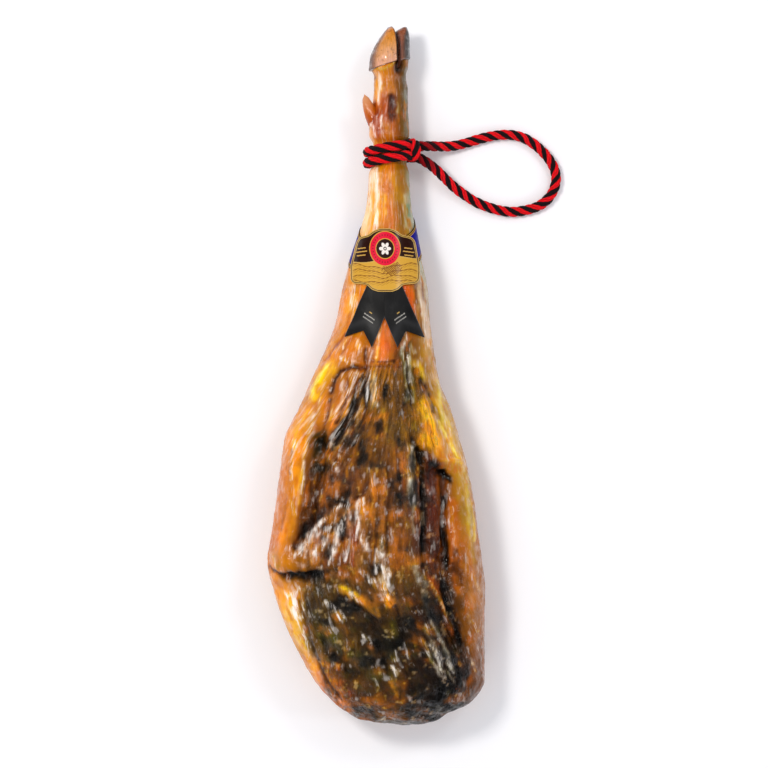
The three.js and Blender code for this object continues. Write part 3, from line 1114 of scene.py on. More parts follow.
# Line in plan, half width and height of each broad lump, or crease where the height is negative.
RELIEF: tuple[tuple[Table, float, float], ...] = (
    (((-87, -63), (-102, -132), (-106, -195)), 17, 5), (((-62, -78), (-72, -132), (-82, -198)), 11, -12),
    (((-104, -222), (-92, -222)), 16, 6), (((-107, -246), (-73, -237)), 10, -11),
    (((4, -60), (10, -167), (14, -250)), 34, 10), (((48, -86), (52, -144), (56, -213)), 9, -8),
    (((72, -116), (77, -170), (76, -255), (88, -305)), 12, -12),
    (((99, -121), (106, -213), (102, -305)), 15, 3),
    (((64, -45), (72, -95)), 16, 5), (((-27, 24), (-26, 8)), 15, 5), (((41, 2), (42, -28)), 11, -5),
)


@dataclass
class LegForm(Loft):
    """The leg as CAD has it: the loft and the broad lumps and creases of its cut side.

    Attributes:
        relief: Line in plan, half width and height of each lump, negative for a crease.
        fade: How soon they die out down the sides.
    """

    rows: Table = LEG_ROWS
    relief: tuple = RELIEF
    fade: float = 0.7

    def at(self, y: np.ndarray, angle: np.ndarray) -> np.ndarray:
        """Loft points raised by the sum of h exp(-(d/w)^2) over the relief lines, on the upper side.

        Args:
            y: Places along the leg.
            angle: Angles round it.

        Returns:
            Points of the broadcast shape, by 3.
        """
        points = super().at(y, angle)
        rise = sum(height * np.exp(-((distance_to(line, points[..., 0], points[..., 1]) / half) ** 2))
                   for line, half, height in self.relief)
        points[..., 2] += np.maximum(0, np.sin(angle)) ** self.fade * rise
        return points

    def lifted(self, y: np.ndarray, angle: np.ndarray, lift: np.ndarray | float) -> np.ndarray:
        """Points off the skin by a distance along its normal.

        Args:
            y: Places along the leg.
            angle: Angles round it.
            lift: The distance in mm.

        Returns:
            Points of the broadcast shape, by 3.
        """
        step = 0.02
        turn = self.at(y, angle + step) - self.at(y, angle - step)
        along = self.at(y + 1, angle) - self.at(y - 1, angle)
        return self.at(y, angle) + unit(np.cross(along, turn)) * np.asarray(lift)[..., None]

    def angle_at(self, y: np.ndarray, x: np.ndarray) -> np.ndarray:
        """Angle at which the upper side has a given x.

        Args:
            y: Places along the leg.
            x: Places across it.

        Returns:
            Angles from 0 to half a turn.
        """
        share = np.clip((x - self.middle(y)) / self.reach(y), -0.999, 0.999)
        return np.arccos(np.sign(share) * np.abs(share) ** (self.upper / 2))


LEG = LegForm()


# ---------------------------------------------------------------- the ham


@dataclass(frozen=True)
class Stroke:
    """A crease, lump, streak or patch of the cut side, along a line in plan. Dark strokes along creases and
    hollows carry painted shade and the palest strokes painted highlights; the rest carry the meat's own
    tones.

    Attributes:
        line: Its corners, in mm.
        half: Half width in mm.
        colour: Its tone.
        strength: How far it covers what lies under it.
        lift: Height in mm, or depth where negative.
        ragged: How far its border wanders, as a share of its width.
    """

    line: Table
    half: float
    colour: str
    strength: float
    lift: float
    ragged: float

    @property
    def gleam(self) -> float:
        """How far it is a painted highlight, a gleam, from how pale its tone is.

        Returns:
            0 for a plain stroke, 1 for a full gleam.
        """
        return float(ramp(srgb(self.colour).min(), 0.66, 0.88))


# Line in plan, half width, tone, strength, lift and raggedness of each stroke, in order. Dark strokes with a
# negative lift are painted shade in creases and hollows; the palest are painted highlights.
STROKES: tuple[Stroke, ...] = tuple(Stroke(*row) for row in (
    # foot: orange tone, with painted light down its left side and painted shade down its right side and in
    # the tendon dimple
    (((10.3, 345), (13.8, 316.2)), 9, "C8701C", 0.6, 0, 0.5),
    (((3.4, 339.2), (3.4, 307)), 2.2, "F2C8A8", 0.8, 0.3, 0.4),
    (((29.9, 339.2), (31, 293.2)), 5, "6E4A24", 0.6, 0, 0.5),
    (((18.4, 318.5), (18.4, 300.1)), 3.4, "4A180C", 0.8, -0.5, 0.6),
    # toe: painted shadow in the hollow between the toes
    (((26.4, 358.8), (26.4, 351.9)), 4.2, "0C0404", 1, -5, 0.1),
    # horn: painted shade in a crease at the horn's left edge
    (((-6.9, 353), (-3.4, 343.8)), 2.6, "30140C", 0.8, -0.6, 0.3),
    # coronet
    (((1.1, 351.9), (17.2, 355.3), (24.1, 362.2)), 1.6, "C8BC96", 0.7, 0.5, 0.3),
    # dewclaw: painted shadow between the dewclaw and the leg
    (((-5.8, 312.8), (0, 301.3)), 4.5, "4C1410", 0.9, -1.6, 0.4),
    # wrinkles
    (((-2.3, 302.4), (2.3, 277.1)), 6, "E8B4A0", 0.65, 0.6, 0.7),
    # wrinkle: painted shade in the wrinkles' creases and painted highlights on their ridges
    (((-11.5, 302.4), (6.9, 295.5)), 1.4, "8A3820", 0.7, -0.7, 0.6),
    (((-10.3, 293.2), (8, 287.5)), 1.2, "8A3820", 0.6, -0.6, 0.6),
    (((-9.2, 284), (5.8, 279.4)), 1.2, "8A3820", 0.6, -0.5, 0.6),
    (((-9.2, 297.8), (0, 294.4)), 1.2, "FFF0EA", 0.8, 0.3, 0.6),
    (((-6.9, 288.6), (2.3, 284)), 1.2, "FFF0EA", 0.8, 0.3, 0.6),
    # ankle: orange tone, with a grey painted reflection along its right edge
    (((16.1, 295.5), (17.2, 274.8)), 7, "B85A24", 0.6, 0, 0.5),
    (((34.5, 327.8), (36.8, 277.1)), 2.6, "86867A", 0.75, 0, 0.4),
    # shank: orange tones, painted light down its left side with a painted highlight streak, painted shade
    # down its right side, grey painted reflections along its right edge and a pale streak near it
    (((-5.8, 238), (-8, 195.5), (-13.8, 129.9)), 5.5, "FBD8BC", 0.8, 0, 0.3),
    (((1.1, 238), (1.1, 187.4), (-5.8, 125.3)), 2, "FFF4E8", 0.85, 0, 0.3),
    (((13.8, 240.3), (16.1, 164.4)), 7, "DE7C2A", 0.6, 0, 0.5),
    (((19.5, 235.7), (21.8, 169)), 1.6, "A85A20", 0.5, 0, 0.6),
    (((29.9, 240.3), (32.2, 171.3), (40.2, 129.9)), 6, "A06830", 0.7, 0, 0.4),
    (((40.2, 238), (41.4, 184), (51.7, 115)), 2.6, "A8AC98", 0.85, 0, 0.3),
    (((-21.8, 120.7), (-31, 72.4)), 3.4, "FFD9A6", 0.7, 0, 0.4),
    (((-29.9, 90.8), (-41.4, 47.1)), 6, "EE9438", 0.6, 0, 0.5),
    (((9.2, 90.8), (11.5, 34.5)), 10, "C46C28", 0.5, 0, 0.5),
    (((52.9, 103.5), (59.8, 34.5)), 6, "D8A070", 0.6, 0, 0.5),
    (((59.8, 95.4), (67.8, 34.5)), 2.4, "B4AC98", 0.6, 0, 0.4),
    (((50.6, 95.4), (55.2, 51.7)), 1.6, "F4E0C4", 0.7, 0.2, 0.5),
    # hock: orange tone, with painted shade in its creases
    (((-27.6, 51.7), (-47.1, 34.5), (-58.6, 14.9)), 9, "D88C3C", 0.6, 0, 0.5),
    (((-34.5, 48.3), (-44.8, 34.5), (-58.6, 16.1)), 1.8, "8A3414", 0.75, -0.9, 0.5),
    (((-27.6, 40.2), (-37.9, 26.4)), 1.4, "8A3414", 0.6, -0.7, 0.5),
    # knuckle: orange lumps with painted highlights, and painted shade in the groove to their right
    (((-24.1, 36.8), (-29.9, 26.4)), 7, "E07820", 0.7, 1.2, 0.5),
    (((-43.7, 21.8), (-52.9, 10.3)), 8, "E8862A", 0.7, 1.4, 0.5),
    (((-37.9, 23), (-29.9, 14.9)), 2, "FFF2DC", 0.75, 0.3, 0.9),
    (((-21.8, 37.9), (-18.4, 31)), 1.6, "FFEBCB", 0.7, 0.2, 0.8),
    (((-11.5, 28.7), (-11.5, 3.4)), 2, "4A1C0C", 0.9, -1.8, 0.4),
    # skin: painted shade in the crease where the skin ends
    (((-11.5, 8), (-29.9, 9.2), (-41.4, 4.6), (-48.3, -5.8), (-50.6, -19.5)), 2.2, "3C1408", 0.95, -2, 0.4),
    # yellow
    (((-59.8, -1.1), (-67.8, -12.6), (-71.3, -25.3)), 4.5, "FFDE70", 0.9, 1.2, 0.4),
    # column
    (((9.2, 33.3), (9.2, 12.6)), 11, "D05E12", 0.8, 0.8, 0.5),
    (((1.1, 31), (1.1, 12.6)), 1.8, "F8D0A0", 0.75, 0.3, 0.5),
    (((23, 34.5), (24.1, 11.5)), 3, "7C3410", 0.7, -0.6, 0.5),
    # cross: painted shade in two creases across the column
    (((-9.2, 16.1), (9.2, 13.8), (25.3, 16.1)), 1.2, "6A2A10", 0.85, -0.8, 0.4),
    (((-9.2, 9.2), (8, 8), (27.6, 10.3)), 1.2, "6A2A10", 0.85, -0.8, 0.4),
    # central: a pale strip, partly a painted highlight, a brown band, and painted shade in a groove to its
    # right
    (((-2.3, 5.8), (-2.3, -37.9)), 4.2, "F0D2B4", 0.85, 0.6, 0.4),
    (((13.8, 3.4), (16.1, -31)), 8, "9A621E", 0.7, 0, 0.6),
    (((23, 3.4), (24.1, -33.3)), 3, "5E3A12", 0.7, -0.8, 0.6),
    # lilac: pale membrane streaks, partly painted highlights
    (((-36.8, 1.1), (-37.9, -19.5), (-40.2, -51.7)), 1.8, "E2CEC6", 0.7, 0.3, 0.6),
    (((-27.6, 2.3), (-29.9, -26.4), (-31, -63.2)), 2, "EAD8D0", 0.7, 0.3, 0.6),
    (((-17.2, 1.1), (-18.4, -28.7), (-21.8, -72.4)), 1.8, "D8BCAC", 0.65, 0.3, 0.6),
    # belly
    (((13.8, -51.7), (16.1, -120.7), (20.7, -212.7)), 26, "7C4614", 0.45, 0, 0.6),
    (((-36.8, -74.8), (-39.1, -132.2)), 12, "5A2A0C", 0.5, 0, 0.7),
    # rump
    (((-29.9, -281.8), (4.6, -327.8), (27.6, -362.2)), 26, "40280E", 0.5, 0, 0.6),
    # meat: orange-brown tone, with painted shade in three creases
    (((-29.9, -11.5), (-34.5, -57.5)), 12, "B46420", 0.5, 0, 0.6),
    (((-32.2, -3.4), (-34.5, -63.2)), 1.6, "74300E", 0.7, -0.8, 0.6),
    (((-23, -3.4), (-25.3, -67.8)), 1.6, "6C2E0E", 0.7, -0.8, 0.6),
    (((-11.5, -5.8), (-13.8, -63.2)), 1.8, "5A260C", 0.75, -1, 0.6),
    # fissure: grey fibrous edges, with painted shade in the fissure between them
    (((29.9, 32.2), (32.2, 3.4), (34.5, -31)), 2, "B8B49C", 0.75, 0.4, 0.6),
    (((39.1, 28.7), (40.2, -1.1), (42.5, -31)), 2, "C4BEA8", 0.75, 0.4, 0.6),
    (((34.5, 31), (36.8, 0), (39.1, -33.3)), 1.5, "2C1808", 0.9, -1.6, 0.4),
    # yellow
    (((46, 12.6), (52.9, -1.1)), 5, "F0C050", 0.85, 0.8, 0.4),
    # side: painted shade in two deep creases, with a grey fibrous strip
    (((50.6, -5.8), (52.9, -18.4)), 3.2, "241006", 0.95, -2.2, 0.4),
    (((57.5, -12.6), (63.2, -26.4), (64.4, -40.2)), 4, "1E0E06", 0.95, -2.6, 0.4),
    (((59.8, -16.1), (62.1, -31)), 1.2, "A8A494", 0.7, 0.5, 0.6),
    # right
    (((64.4, 37.9), (67.8, 14.9), (69, -5.8)), 4, "E6B48C", 0.8, 0, 0.4),
    (((71.3, -8), (74.8, -37.9), (78.2, -70.1)), 3, "E8D890", 0.8, 0.5, 0.4),
    (((81.6, -23), (88.5, -63.2), (94.3, -93.1)), 5, "C0902C", 0.7, 0, 0.4),
    # big
    (((51.7, -42.5), (58.6, -60.9), (62.1, -81.6)), 9, "F2A412", 0.95, 1.5, 0.3),
    (((55.2, -40.2), (59.8, -51.7)), 4, "FFC83C", 0.7, 0.4, 0.4),
    # fat
    (((51.7, -70.1), (50.6, -86.2), (49.4, -100)), 5, "E88C08", 0.9, 1, 0.3),
    (((71.3, -74.8), (73.6, -93.1)), 7.5, "E08C14", 0.9, 1.6, 0.3),
    (((65.5, -93.1), (69, -104.6)), 1.8, "FFF0B8", 0.85, 0.4, 0.5),
    # ledge: a pale rim and the ledge's tone, with painted shadow under it
    (((73.6, -95.4), (85.1, -96.6), (97.7, -100)), 1.8, "FFE6A0", 0.85, 0.8, 0.3),
    (((73.6, -105.8), (87.4, -105.8), (101.2, -109.2)), 4, "B87818", 0.8, 0, 0.4),
    (((64.4, -110.4), (73.6, -113.8), (82.8, -117.3)), 4, "2A1206", 0.95, -2.4, 0.4),
    # olive
    (((0, -40.2), (9.2, -57.5), (18.4, -77)), 7, "8A6420", 0.7, 0, 0.7),
    (((6.9, -42.5), (11.5, -65.5)), 1.6, "E0C898", 0.6, 0.3, 0.7),
    # lump: orange lumps with painted highlights, and painted shade in the crease between them
    (((-57.5, -28.7), (-62.1, -51.7)), 6, "E8861C", 0.85, 1.2, 0.5),
    (((-43.7, -31), (-49.4, -60.9)), 5, "DC7814", 0.85, 1.2, 0.5),
    (((-34.5, -26.4), (-36.8, -42.5)), 4.5, "C86A18", 0.7, 0.8, 0.5),
    (((-50.6, -26.4), (-56.3, -51.7), (-62.1, -67.8)), 1.6, "5A240A", 0.8, -1.2, 0.5),
    (((-62.1, -26.4), (-65.5, -44.8)), 1.5, "FFF0C8", 0.75, 0.3, 0.7),
    (((-47.1, -31), (-51.7, -51.7)), 1.4, "FFEAC0", 0.7, 0.3, 0.7),
    # rim: orange fat along the left rim, with painted highlight lines
    (((-70.1, -47.1), (-77, -69), (-81.6, -88.5)), 3.2, "FFE4CC", 0.85, 0.6, 0.4),
    (((-83.9, -63.2), (-92, -109.2), (-96.6, -155.2)), 8, "F28C14", 0.75, 0, 0.4),
    (((-101.2, -166.8), (-110.4, -203.5)), 7, "EE8A1E", 0.7, 0, 0.4),
    (((-92, -74.8), (-95.4, -95.4), (-96.6, -116.1)), 2.2, "FFF2DC", 0.8, 0.4, 0.5),
    (((-81.6, -92), (-87.4, -126.5), (-90.8, -159.8)), 2, "FFE2B8", 0.75, 0.3, 0.5),
    (((-95.4, -143.8), (-92, -157.5)), 2.2, "FFF6D8", 0.85, 0.3, 0.5),
    # hollow: painted shadow in the left hollow, with a lighter orange lump
    (((-66.7, -106.9), (-69, -143.8), (-77, -173.6)), 10, "44200A", 0.85, -1, 0.6),
    (((-64.4, -70.1), (-64.4, -102.3)), 9, "2A2410", 0.9, -1, 0.6),
    (((-60.9, -72.4), (-58.6, -104.6)), 4, "0C0A04", 0.8, -1.2, 0.6),
    (((-69, -150.6), (-80.5, -178.2), (-90.8, -195.5)), 3, "0C0402", 0.9, -1.6, 0.4),
    (((-73.6, -120.7), (-80.5, -149.5)), 2.4, "B4601C", 0.7, 0.6, 0.6),
    # meat: brown and red tones, pale streaks that are partly painted highlights, and painted shade in its
    # creases
    (((-29.9, -95.4), (-39.1, -123), (-48.3, -149.5)), 13, "8E4E1C", 0.7, 0, 0.6),
    (((-23, -109.2), (-32.2, -132.2)), 6, "A4481C", 0.6, 0.3, 0.7),
    (((-51.7, -93.1), (-43.7, -106.9)), 1.8, "F4E6DC", 0.8, 0.4, 0.8),
    (((-41.4, -92), (-34.5, -104.6)), 1.6, "ECDCCC", 0.7, 0.4, 0.8),
    (((-27.6, -100), (-34.5, -118.4)), 1.5, "E8D0B4", 0.65, 0.3, 0.8),
    (((-5.8, -104.6), (-2.3, -127.6)), 2.4, "FFF6F0", 0.75, 0.3, 1.2),
    (((-46, -109.2), (-52.9, -134.5), (-59.8, -152.9)), 2, "4A200A", 0.8, -1, 0.6),
    (((-27.6, -120.7), (-39.1, -141.4)), 1.8, "52240C", 0.8, -0.9, 0.6),
    (((-13.8, -86.2), (-16.1, -118.4)), 2, "4E220A", 0.8, -1, 0.6),
    # centre: brown tone, with painted shade in two creases and paler lines beside them
    (((11.5, -86.2), (9.2, -132.2)), 9, "7A4416", 0.7, 0, 0.6),
    (((4.6, -92), (3.4, -166.8)), 1.4, "4A240C", 0.7, -0.6, 0.5),
    (((13.8, -86.2), (12.6, -195.5)), 1.4, "50280E", 0.7, -0.6, 0.5),
    (((21.8, -88.5), (20.7, -201.2)), 1.4, "C07A3C", 0.55, 0.4, 0.6),
    (((9.2, -143.8), (8, -212.7)), 1.6, "B87038", 0.6, 0.4, 0.6),
    # facet: pale pink, with painted highlight streaks, painted shade between them and painted shade along the
    # creases at its edges
    (((-80.5, -198.9), (-62.1, -187.4), (-36.8, -169), (-18.4, -152.9)), 15, "B4826A", 0.8, 1, 0.4),
    (((-66.7, -208.1), (-35.6, -198.9), (-18.4, -180.5)), 10, "9A6650", 0.75, 0, 0.5),
    (((-92, -195.5), (-78.2, -171.3), (-59.8, -154.1), (-41.4, -142.6), (-25.3, -143.8),
     (-9.2, -123)), 3, "3A160A", 0.9, -2, 0.4),
    (((-90.8, -203.5), (-75.9, -179.4), (-57.5, -162.1), (-40.2, -150.6),
     (-26.4, -152.9)), 1.8, "F2DCD0", 0.8, 0.8, 0.5),
    (((-64.4, -178.2), (-51.7, -187.4), (-48.3, -198.9)), 3.6, "FFF4EE", 0.9, 0.4, 0.9),
    (((-32.2, -147.2), (-25.3, -159.8), (-18.4, -173.6)), 3.2, "FFF0EA", 0.9, 0.4, 0.9),
    (((-79.3, -189.7), (-81.6, -203.5)), 2, "F8E4DA", 0.8, 0.3, 0.8),
    (((-43.7, -169), (-40.2, -189.7)), 1.6, "F6E2DA", 0.75, 0.3, 0.8),
    (((-73.6, -181.7), (-69, -212.7)), 1.3, "E4C6BC", 0.7, 0.3, 0.6),
    (((-55.2, -166.8), (-48.3, -212.7)), 1.3, "7E4430", 0.75, -0.5, 0.6),
    (((-40.2, -159.8), (-32.2, -208.1)), 1.3, "7A402C", 0.75, -0.5, 0.6),
    (((-23, -150.6), (-18.4, -203.5)), 1.4, "6E3826", 0.75, -0.6, 0.6),
    (((-29.9, -166.8), (-24.1, -203.5)), 1.2, "E8CCC0", 0.7, 0.3, 0.6),
    (((-5.8, -139.1), (-3.4, -178.2), (-3.4, -215)), 3.6, "4A200E", 0.85, -1.6, 0.4),
    # right
    (((32.2, -88.5), (32.2, -143.8), (29.9, -208.1)), 7, "6E3012", 0.75, 0, 0.6),
    # grey: painted reflections along a ridge
    (((41.4, -82.8), (39.1, -109.2), (35.6, -136.8)), 3, "8E8A76", 0.8, 0.6, 0.5),
    (((32.2, -141.4), (34.5, -178.2)), 2, "84725C", 0.6, 0.3, 0.6),
    # black: painted shade in a deep groove
    (((47.1, -83.9), (51.7, -118.4), (54, -161), (52.9, -215)), 2.8, "0E0604", 1, -3, 0.3),
    # dark
    (((62.1, -95.4), (63.2, -120.7), (64.4, -148.3)), 7, "64200C", 0.85, 0, 0.5),
    # red
    (((65.5, -152.9), (66.7, -201.2)), 6, "5A2410", 0.8, 0, 0.5),
    (((59.8, -127.6), (62.1, -143.8)), 1.2, "E8C4AC", 0.65, 0.3, 0.8),
    (((69, -166.8), (69, -182.8)), 1.2, "D8B498", 0.6, 0.3, 0.8),
    # outer: painted shade in the outer groove
    (((77, -109.2), (78.2, -143.8), (75.9, -178.2), (78.2, -215)), 3, "100604", 1, -3, 0.3),
    # orange: an orange ridge with a painted highlight streak
    (((87.4, -146), (87.4, -178.2), (89.7, -212.7)), 6.5, "C85816", 0.85, 0.8, 0.4),
    (((85.1, -155.2), (88.5, -195.5)), 1.6, "FFE8D0", 0.7, 0.3, 1.2),
    # band
    (((96.6, -116.1), (98.9, -166.8)), 5.5, "B4841C", 0.8, 0, 0.4),
    (((103.5, -118.4), (105.8, -161), (106.9, -212.7)), 2.4, "F2D49A", 0.75, 0.4, 0.5),
    (((113.8, -120.7), (117.3, -166.8), (119.6, -212.7)), 5, "B46C24", 0.7, 0, 0.4),
    # gold
    (((80.5, -56.3), (90.8, -80.5), (100, -106.9)), 5, "E0A434", 0.8, 0, 0.4),
    (((70.1, -54), (81.6, -72.4), (94.3, -95.4)), 1.6, "FFEFB4", 0.8, 0.4, 0.4),
    # knob: an orange knob with a grey-green patch and a small painted highlight
    (((-119.6, -215), (-108.1, -208.1)), 9, "DC7C24", 0.85, 1, 0.4),
    (((-115, -208.1), (-103.5, -219.6)), 3, "9A8A60", 0.6, 0, 1),
    (((-119.6, -203.5), (-113.8, -215)), 2, "FFEACC", 0.7, 0.3, 0.6),
    # fold: painted shade in the fold and the crease under it
    (((-123, -219.6), (-111.5, -225.4), (-100, -232.3)), 2, "3A1408", 0.95, -2.4, 0.3),
    (((-98.9, -227.7), (-85.1, -228.8), (-69, -227.7)), 5.5, "0C0503", 1, -3.4, 0.4),
    # pit: painted shade round the pit
    (((-66.7, -228.8), (-52.9, -234.6), (-41.4, -242.6)), 5, "3C2A0E", 0.9, -0.8, 0.5),
    # low: orange and pale fat, a painted highlight streak, and painted shade along a crease
    (((-119.6, -235.7), (-113.8, -261)), 6, "F0962A", 0.75, 0, 0.4),
    (((-100, -267.9), (-90.8, -288.6), (-80.5, -311.6)), 8, "F4C680", 0.85, 0.8, 0.4),
    (((-96.6, -261), (-87.4, -281.8), (-74.8, -310.5)), 2, "FFF8EC", 0.85, 0.4, 0.5),
    (((-78.2, -318.5), (-66.7, -346.1)), 5, "F2A850", 0.8, 0, 0.4),
    (((-59.8, -355.3), (-41.4, -378.3)), 5.5, "E0701C", 0.8, 0, 0.4),
    (((-87.4, -256.4), (-78.2, -284), (-69, -313.9), (-57.5, -341.5),
     (-39.1, -369.1)), 1.8, "2E1408", 0.85, -1.2, 0.4),
    # wet: painted highlights, white streaks
    (((-98.9, -249.5), (-92, -263.3), (-85.1, -274.8)), 2.4, "FFFFFF", 0.9, 0.4, 0.9),
    (((-57.5, -259.9), (-46, -265.6), (-35.6, -273.7)), 2.4, "FFF4E8", 0.8, 0.4, 1),
    # olive
    (((-77, -249.5), (-75.9, -279.4), (-69, -316.2)), 6.5, "4E340E", 0.8, 0, 0.6),
    # fat: a fat ridge with a pale top, and painted shade in the crease under it
    (((-42.5, -239.2), (-27.6, -248.4), (-12.6, -256.4), (2.3, -269.1)), 5, "E89418", 0.9, 2, 0.35),
    (((-40.2, -236.9), (-26.4, -244.9), (-11.5, -253)), 1.8, "FFD86C", 0.85, 0.5, 0.4),
    (((-41.4, -248.4), (-25.3, -258.8), (-9.2, -267.9), (4.6, -277.1)), 2.4, "2E1808", 0.9, -1.6, 0.4),
    # wet: painted highlights, pale streaks
    (((-13.8, -220.8), (-4.6, -233.4), (3.4, -246.1)), 2.8, "F8EAE0", 0.8, 0.4, 1.1),
    (((10.3, -209.3), (11.5, -235.7), (11.5, -263.3)), 2, "F0DCCC", 0.75, 0.3, 1),
    # orange
    (((6.9, -240.3), (18.4, -256.4)), 5.5, "D07618", 0.85, 1, 0.5),
    # mould
    (((-52.9, -295.5), (-36.8, -316.2)), 9, "4A3A10", 0.7, 0, 0.9),
    (((-18.4, -293.2), (-4.6, -313.9)), 9, "5A3E12", 0.7, 0, 0.9),
    (((-27.6, -336.9), (-9.2, -362.2)), 10, "54380E", 0.7, 0, 0.9),
    (((18.4, -281.8), (23, -313.9)), 7, "4C4414", 0.8, 0, 0.8),
    (((-35.6, -281.8), (-23, -304.8)), 6, "9A5A18", 0.6, 0.4, 0.9),
    (((-4.6, -323.1), (6.9, -339.2)), 5, "A8601A", 0.7, 0.5, 0.9),
    (((-41.4, -330), (-34.5, -350.8)), 4.5, "B4681C", 0.7, 0.5, 0.9),
    (((18.4, -346.1), (23, -362.2)), 3.6, "D88826", 0.8, 0.4, 0.6),
    (((-11.5, -373.7), (4.6, -387.5)), 6, "A4661E", 0.6, 0.3, 0.8),
    # red
    (((-42.5, -302.4), (-36.8, -310.5)), 2.6, "C04820", 0.8, 0.3, 0.5),
    (((-52.9, -284), (-51.7, -286.3)), 2.2, "B84A20", 0.8, 0.3, 0.5),
    # mould: white and pale specks, which the gleam also treats as painted highlight, and painted shade in
    # three creases
    (((18.4, -316.2), (23, -322)), 1.8, "FFFFFF", 0.8, 0.3, 0.8),
    (((21.8, -330), (25.3, -334.6)), 1.6, "FFFFFF", 0.8, 0.3, 0.8),
    (((-27.6, -307), (-16.1, -316.2)), 1.4, "D8C8A0", 0.6, 0.3, 1),
    (((-62.1, -327.8), (-50.6, -336.9)), 1.4, "E8D8B8", 0.6, 0.3, 1),
    (((-62.1, -290.9), (-48.3, -327.8), (-29.9, -362.2)), 2.6, "241606", 0.8, -1, 0.7),
    (((-4.6, -277.1), (2.3, -304.8), (11.5, -336.9)), 2.6, "2A1806", 0.8, -1, 0.7),
    (((23, -258.8), (29.9, -304.8), (36.8, -350.8)), 3, "201006", 0.85, -1.2, 0.6),
    # right
    (((41.4, -249.5), (50.6, -284)), 8, "3A1A0A", 0.85, 0, 0.6),
    # grey: painted reflections along a ridge
    (((41.4, -217.3), (52.9, -226.5), (55.2, -235.7)), 4, "8E8878", 0.7, 0.4, 0.8),
    (((51.7, -242.6), (57.5, -267.9)), 2.2, "9A9482", 0.7, 0.4, 0.6),
    # long: painted reflections, two long grey streaks
    (((55.2, -284), (64.4, -310.5), (73.6, -333.5), (87.4, -346.1)), 2, "C4BCAC", 0.85, 0.5, 0.5),
    (((73.6, -310.5), (80.5, -324.3), (88.5, -336.9)), 1.8, "B8B0A0", 0.8, 0.4, 0.5),
    # red
    (((62.1, -231.1), (74.8, -258.8), (87.4, -290.9)), 5, "B44414", 0.9, 1, 0.4),
    # wedge: a painted highlight along the red ridge
    (((59.8, -232.3), (71.3, -256.4), (85.1, -284)), 1.4, "F0C8A0", 0.8, 0.4, 0.4),
    # low: painted shade in a deep groove
    (((73.6, -208.1), (75.9, -241.5), (85.1, -272.5), (94.3, -304.8)), 4, "0C0503", 1, -3, 0.4),
    # right: the skin band, two pale painted highlight streaks and a near-black patch
    (((103.5, -215), (108.1, -258.8), (112.7, -304.8)), 8, "B86E20", 0.8, 0, 0.4),
    (((106.9, -224.2), (117.3, -247.2)), 1.6, "F4E0C4", 0.7, 0.3, 1),
    (((106.9, -276), (116.1, -293.2)), 1.5, "F0D8B8", 0.7, 0.3, 1),
    (((90.8, -316.2), (98.9, -362.2)), 12, "160A05", 0.9, 0, 0.5),
    # black
    (((77, -362.2), (87.4, -376), (98.9, -378.3)), 7, "050303", 0.95, -1, 0.4),
    # right
    (((117.3, -304.8), (119.6, -350.8)), 5, "6A3A16", 0.7, 0, 0.5),
    # brown
    (((50.6, -316.2), (57.5, -362.2)), 9, "2C1608", 0.85, 0, 0.6),
    # base
    (((32.2, -362.2), (46, -387.5)), 3, "6A4A20", 0.6, 0.3, 0.7),
    (((-29.9, -382.9), (4.6, -394.4), (50.6, -394.4)), 4, "7A4418", 0.6, 0, 0.6),
    # hollow
    (((-46, -63.2), (-52.9, -92)), 3, "C06A1C", 0.6, 0.6, 0.6),
    # left: pale streaks, partly painted highlights, and painted shade in two creases
    (((-11.5, 3.4), (-23, -23), (-37.9, -51.7), (-52.9, -80.5)), 2, "F0DACA", 0.75, 0.5, 0.7),
    (((-6.9, -11.5), (-16.1, -34.5), (-31, -63.2), (-46, -88.5)), 1.8, "E6C8B0", 0.7, 0.5, 0.7),
    (((-20.7, 3.4), (-34.5, -24.1), (-48.3, -49.4)), 1.8, "EEDCD2", 0.7, 0.5, 0.7),
    (((-9.2, -3.4), (-23, -34.5), (-41.4, -70.1)), 1.6, "54240A", 0.75, -0.8, 0.6),
    (((-16.1, 1.1), (-32.2, -28.7), (-46, -56.3)), 1.6, "4C2008", 0.75, -0.8, 0.6),
    # yellow
    (((-50.6, 8), (-62.1, -5.8), (-69, -21.8)), 7, "FFC83C", 0.7, 0.6, 0.3),
    # rim
    (((-78.2, -44.8), (-89.7, -65.5)), 6, "E8B040", 0.6, 0, 0.4),
    # centre
    (((9.2, -33.3), (18.4, -63.2)), 6, "6A4A14", 0.6, 0, 0.7),
    (((0, -120.7), (2.3, -178.2)), 6, "B4641C", 0.6, 0.3, 0.7),
    (((18.4, -166.8), (25.3, -212.7)), 6, "A05214", 0.6, 0.3, 0.7),
    # grey: painted reflections along the groove's edge, and painted shade in the groove
    (((40.2, -81.6), (36.8, -115), (41.4, -147.2)), 4.2, "B0AE9E", 0.8, 0.5, 0.5),
    (((47.1, -86.2), (43.7, -120.7), (47.1, -149.5)), 1.4, "3A1C0C", 0.8, -0.8, 0.4),
    (((41.4, -212.7), (48.3, -233.4), (55.2, -258.8)), 5.4, "A09A8C", 0.75, 0.4, 0.7),
    (((37.9, -166.8), (41.4, -212.7)), 1.6, "8A8474", 0.6, 0.3, 0.6),
    # red
    (((64.4, -92), (66.7, -155.2), (71.3, -212.7)), 10, "4A1408", 0.6, -0.6, 0.5),
    # black: painted shade in a groove
    (((51.7, -88.5), (54, -143.8), (52.9, -201.2)), 3.4, "0A0403", 0.9, -1.5, 0.3),
    # wet: painted highlights, pale streaks
    (((6.9, -185.1), (5.8, -212.7), (9.2, -242.6)), 2.6, "FFFCF8", 0.9, 0.5, 0.9),
    (((1.1, -195.5), (0, -219.6)), 1.6, "F4E4D8", 0.8, 0.3, 0.8),
    (((14.9, -212.7), (13.8, -249.5)), 1.8, "FFF4EC", 0.8, 0.4, 0.9),
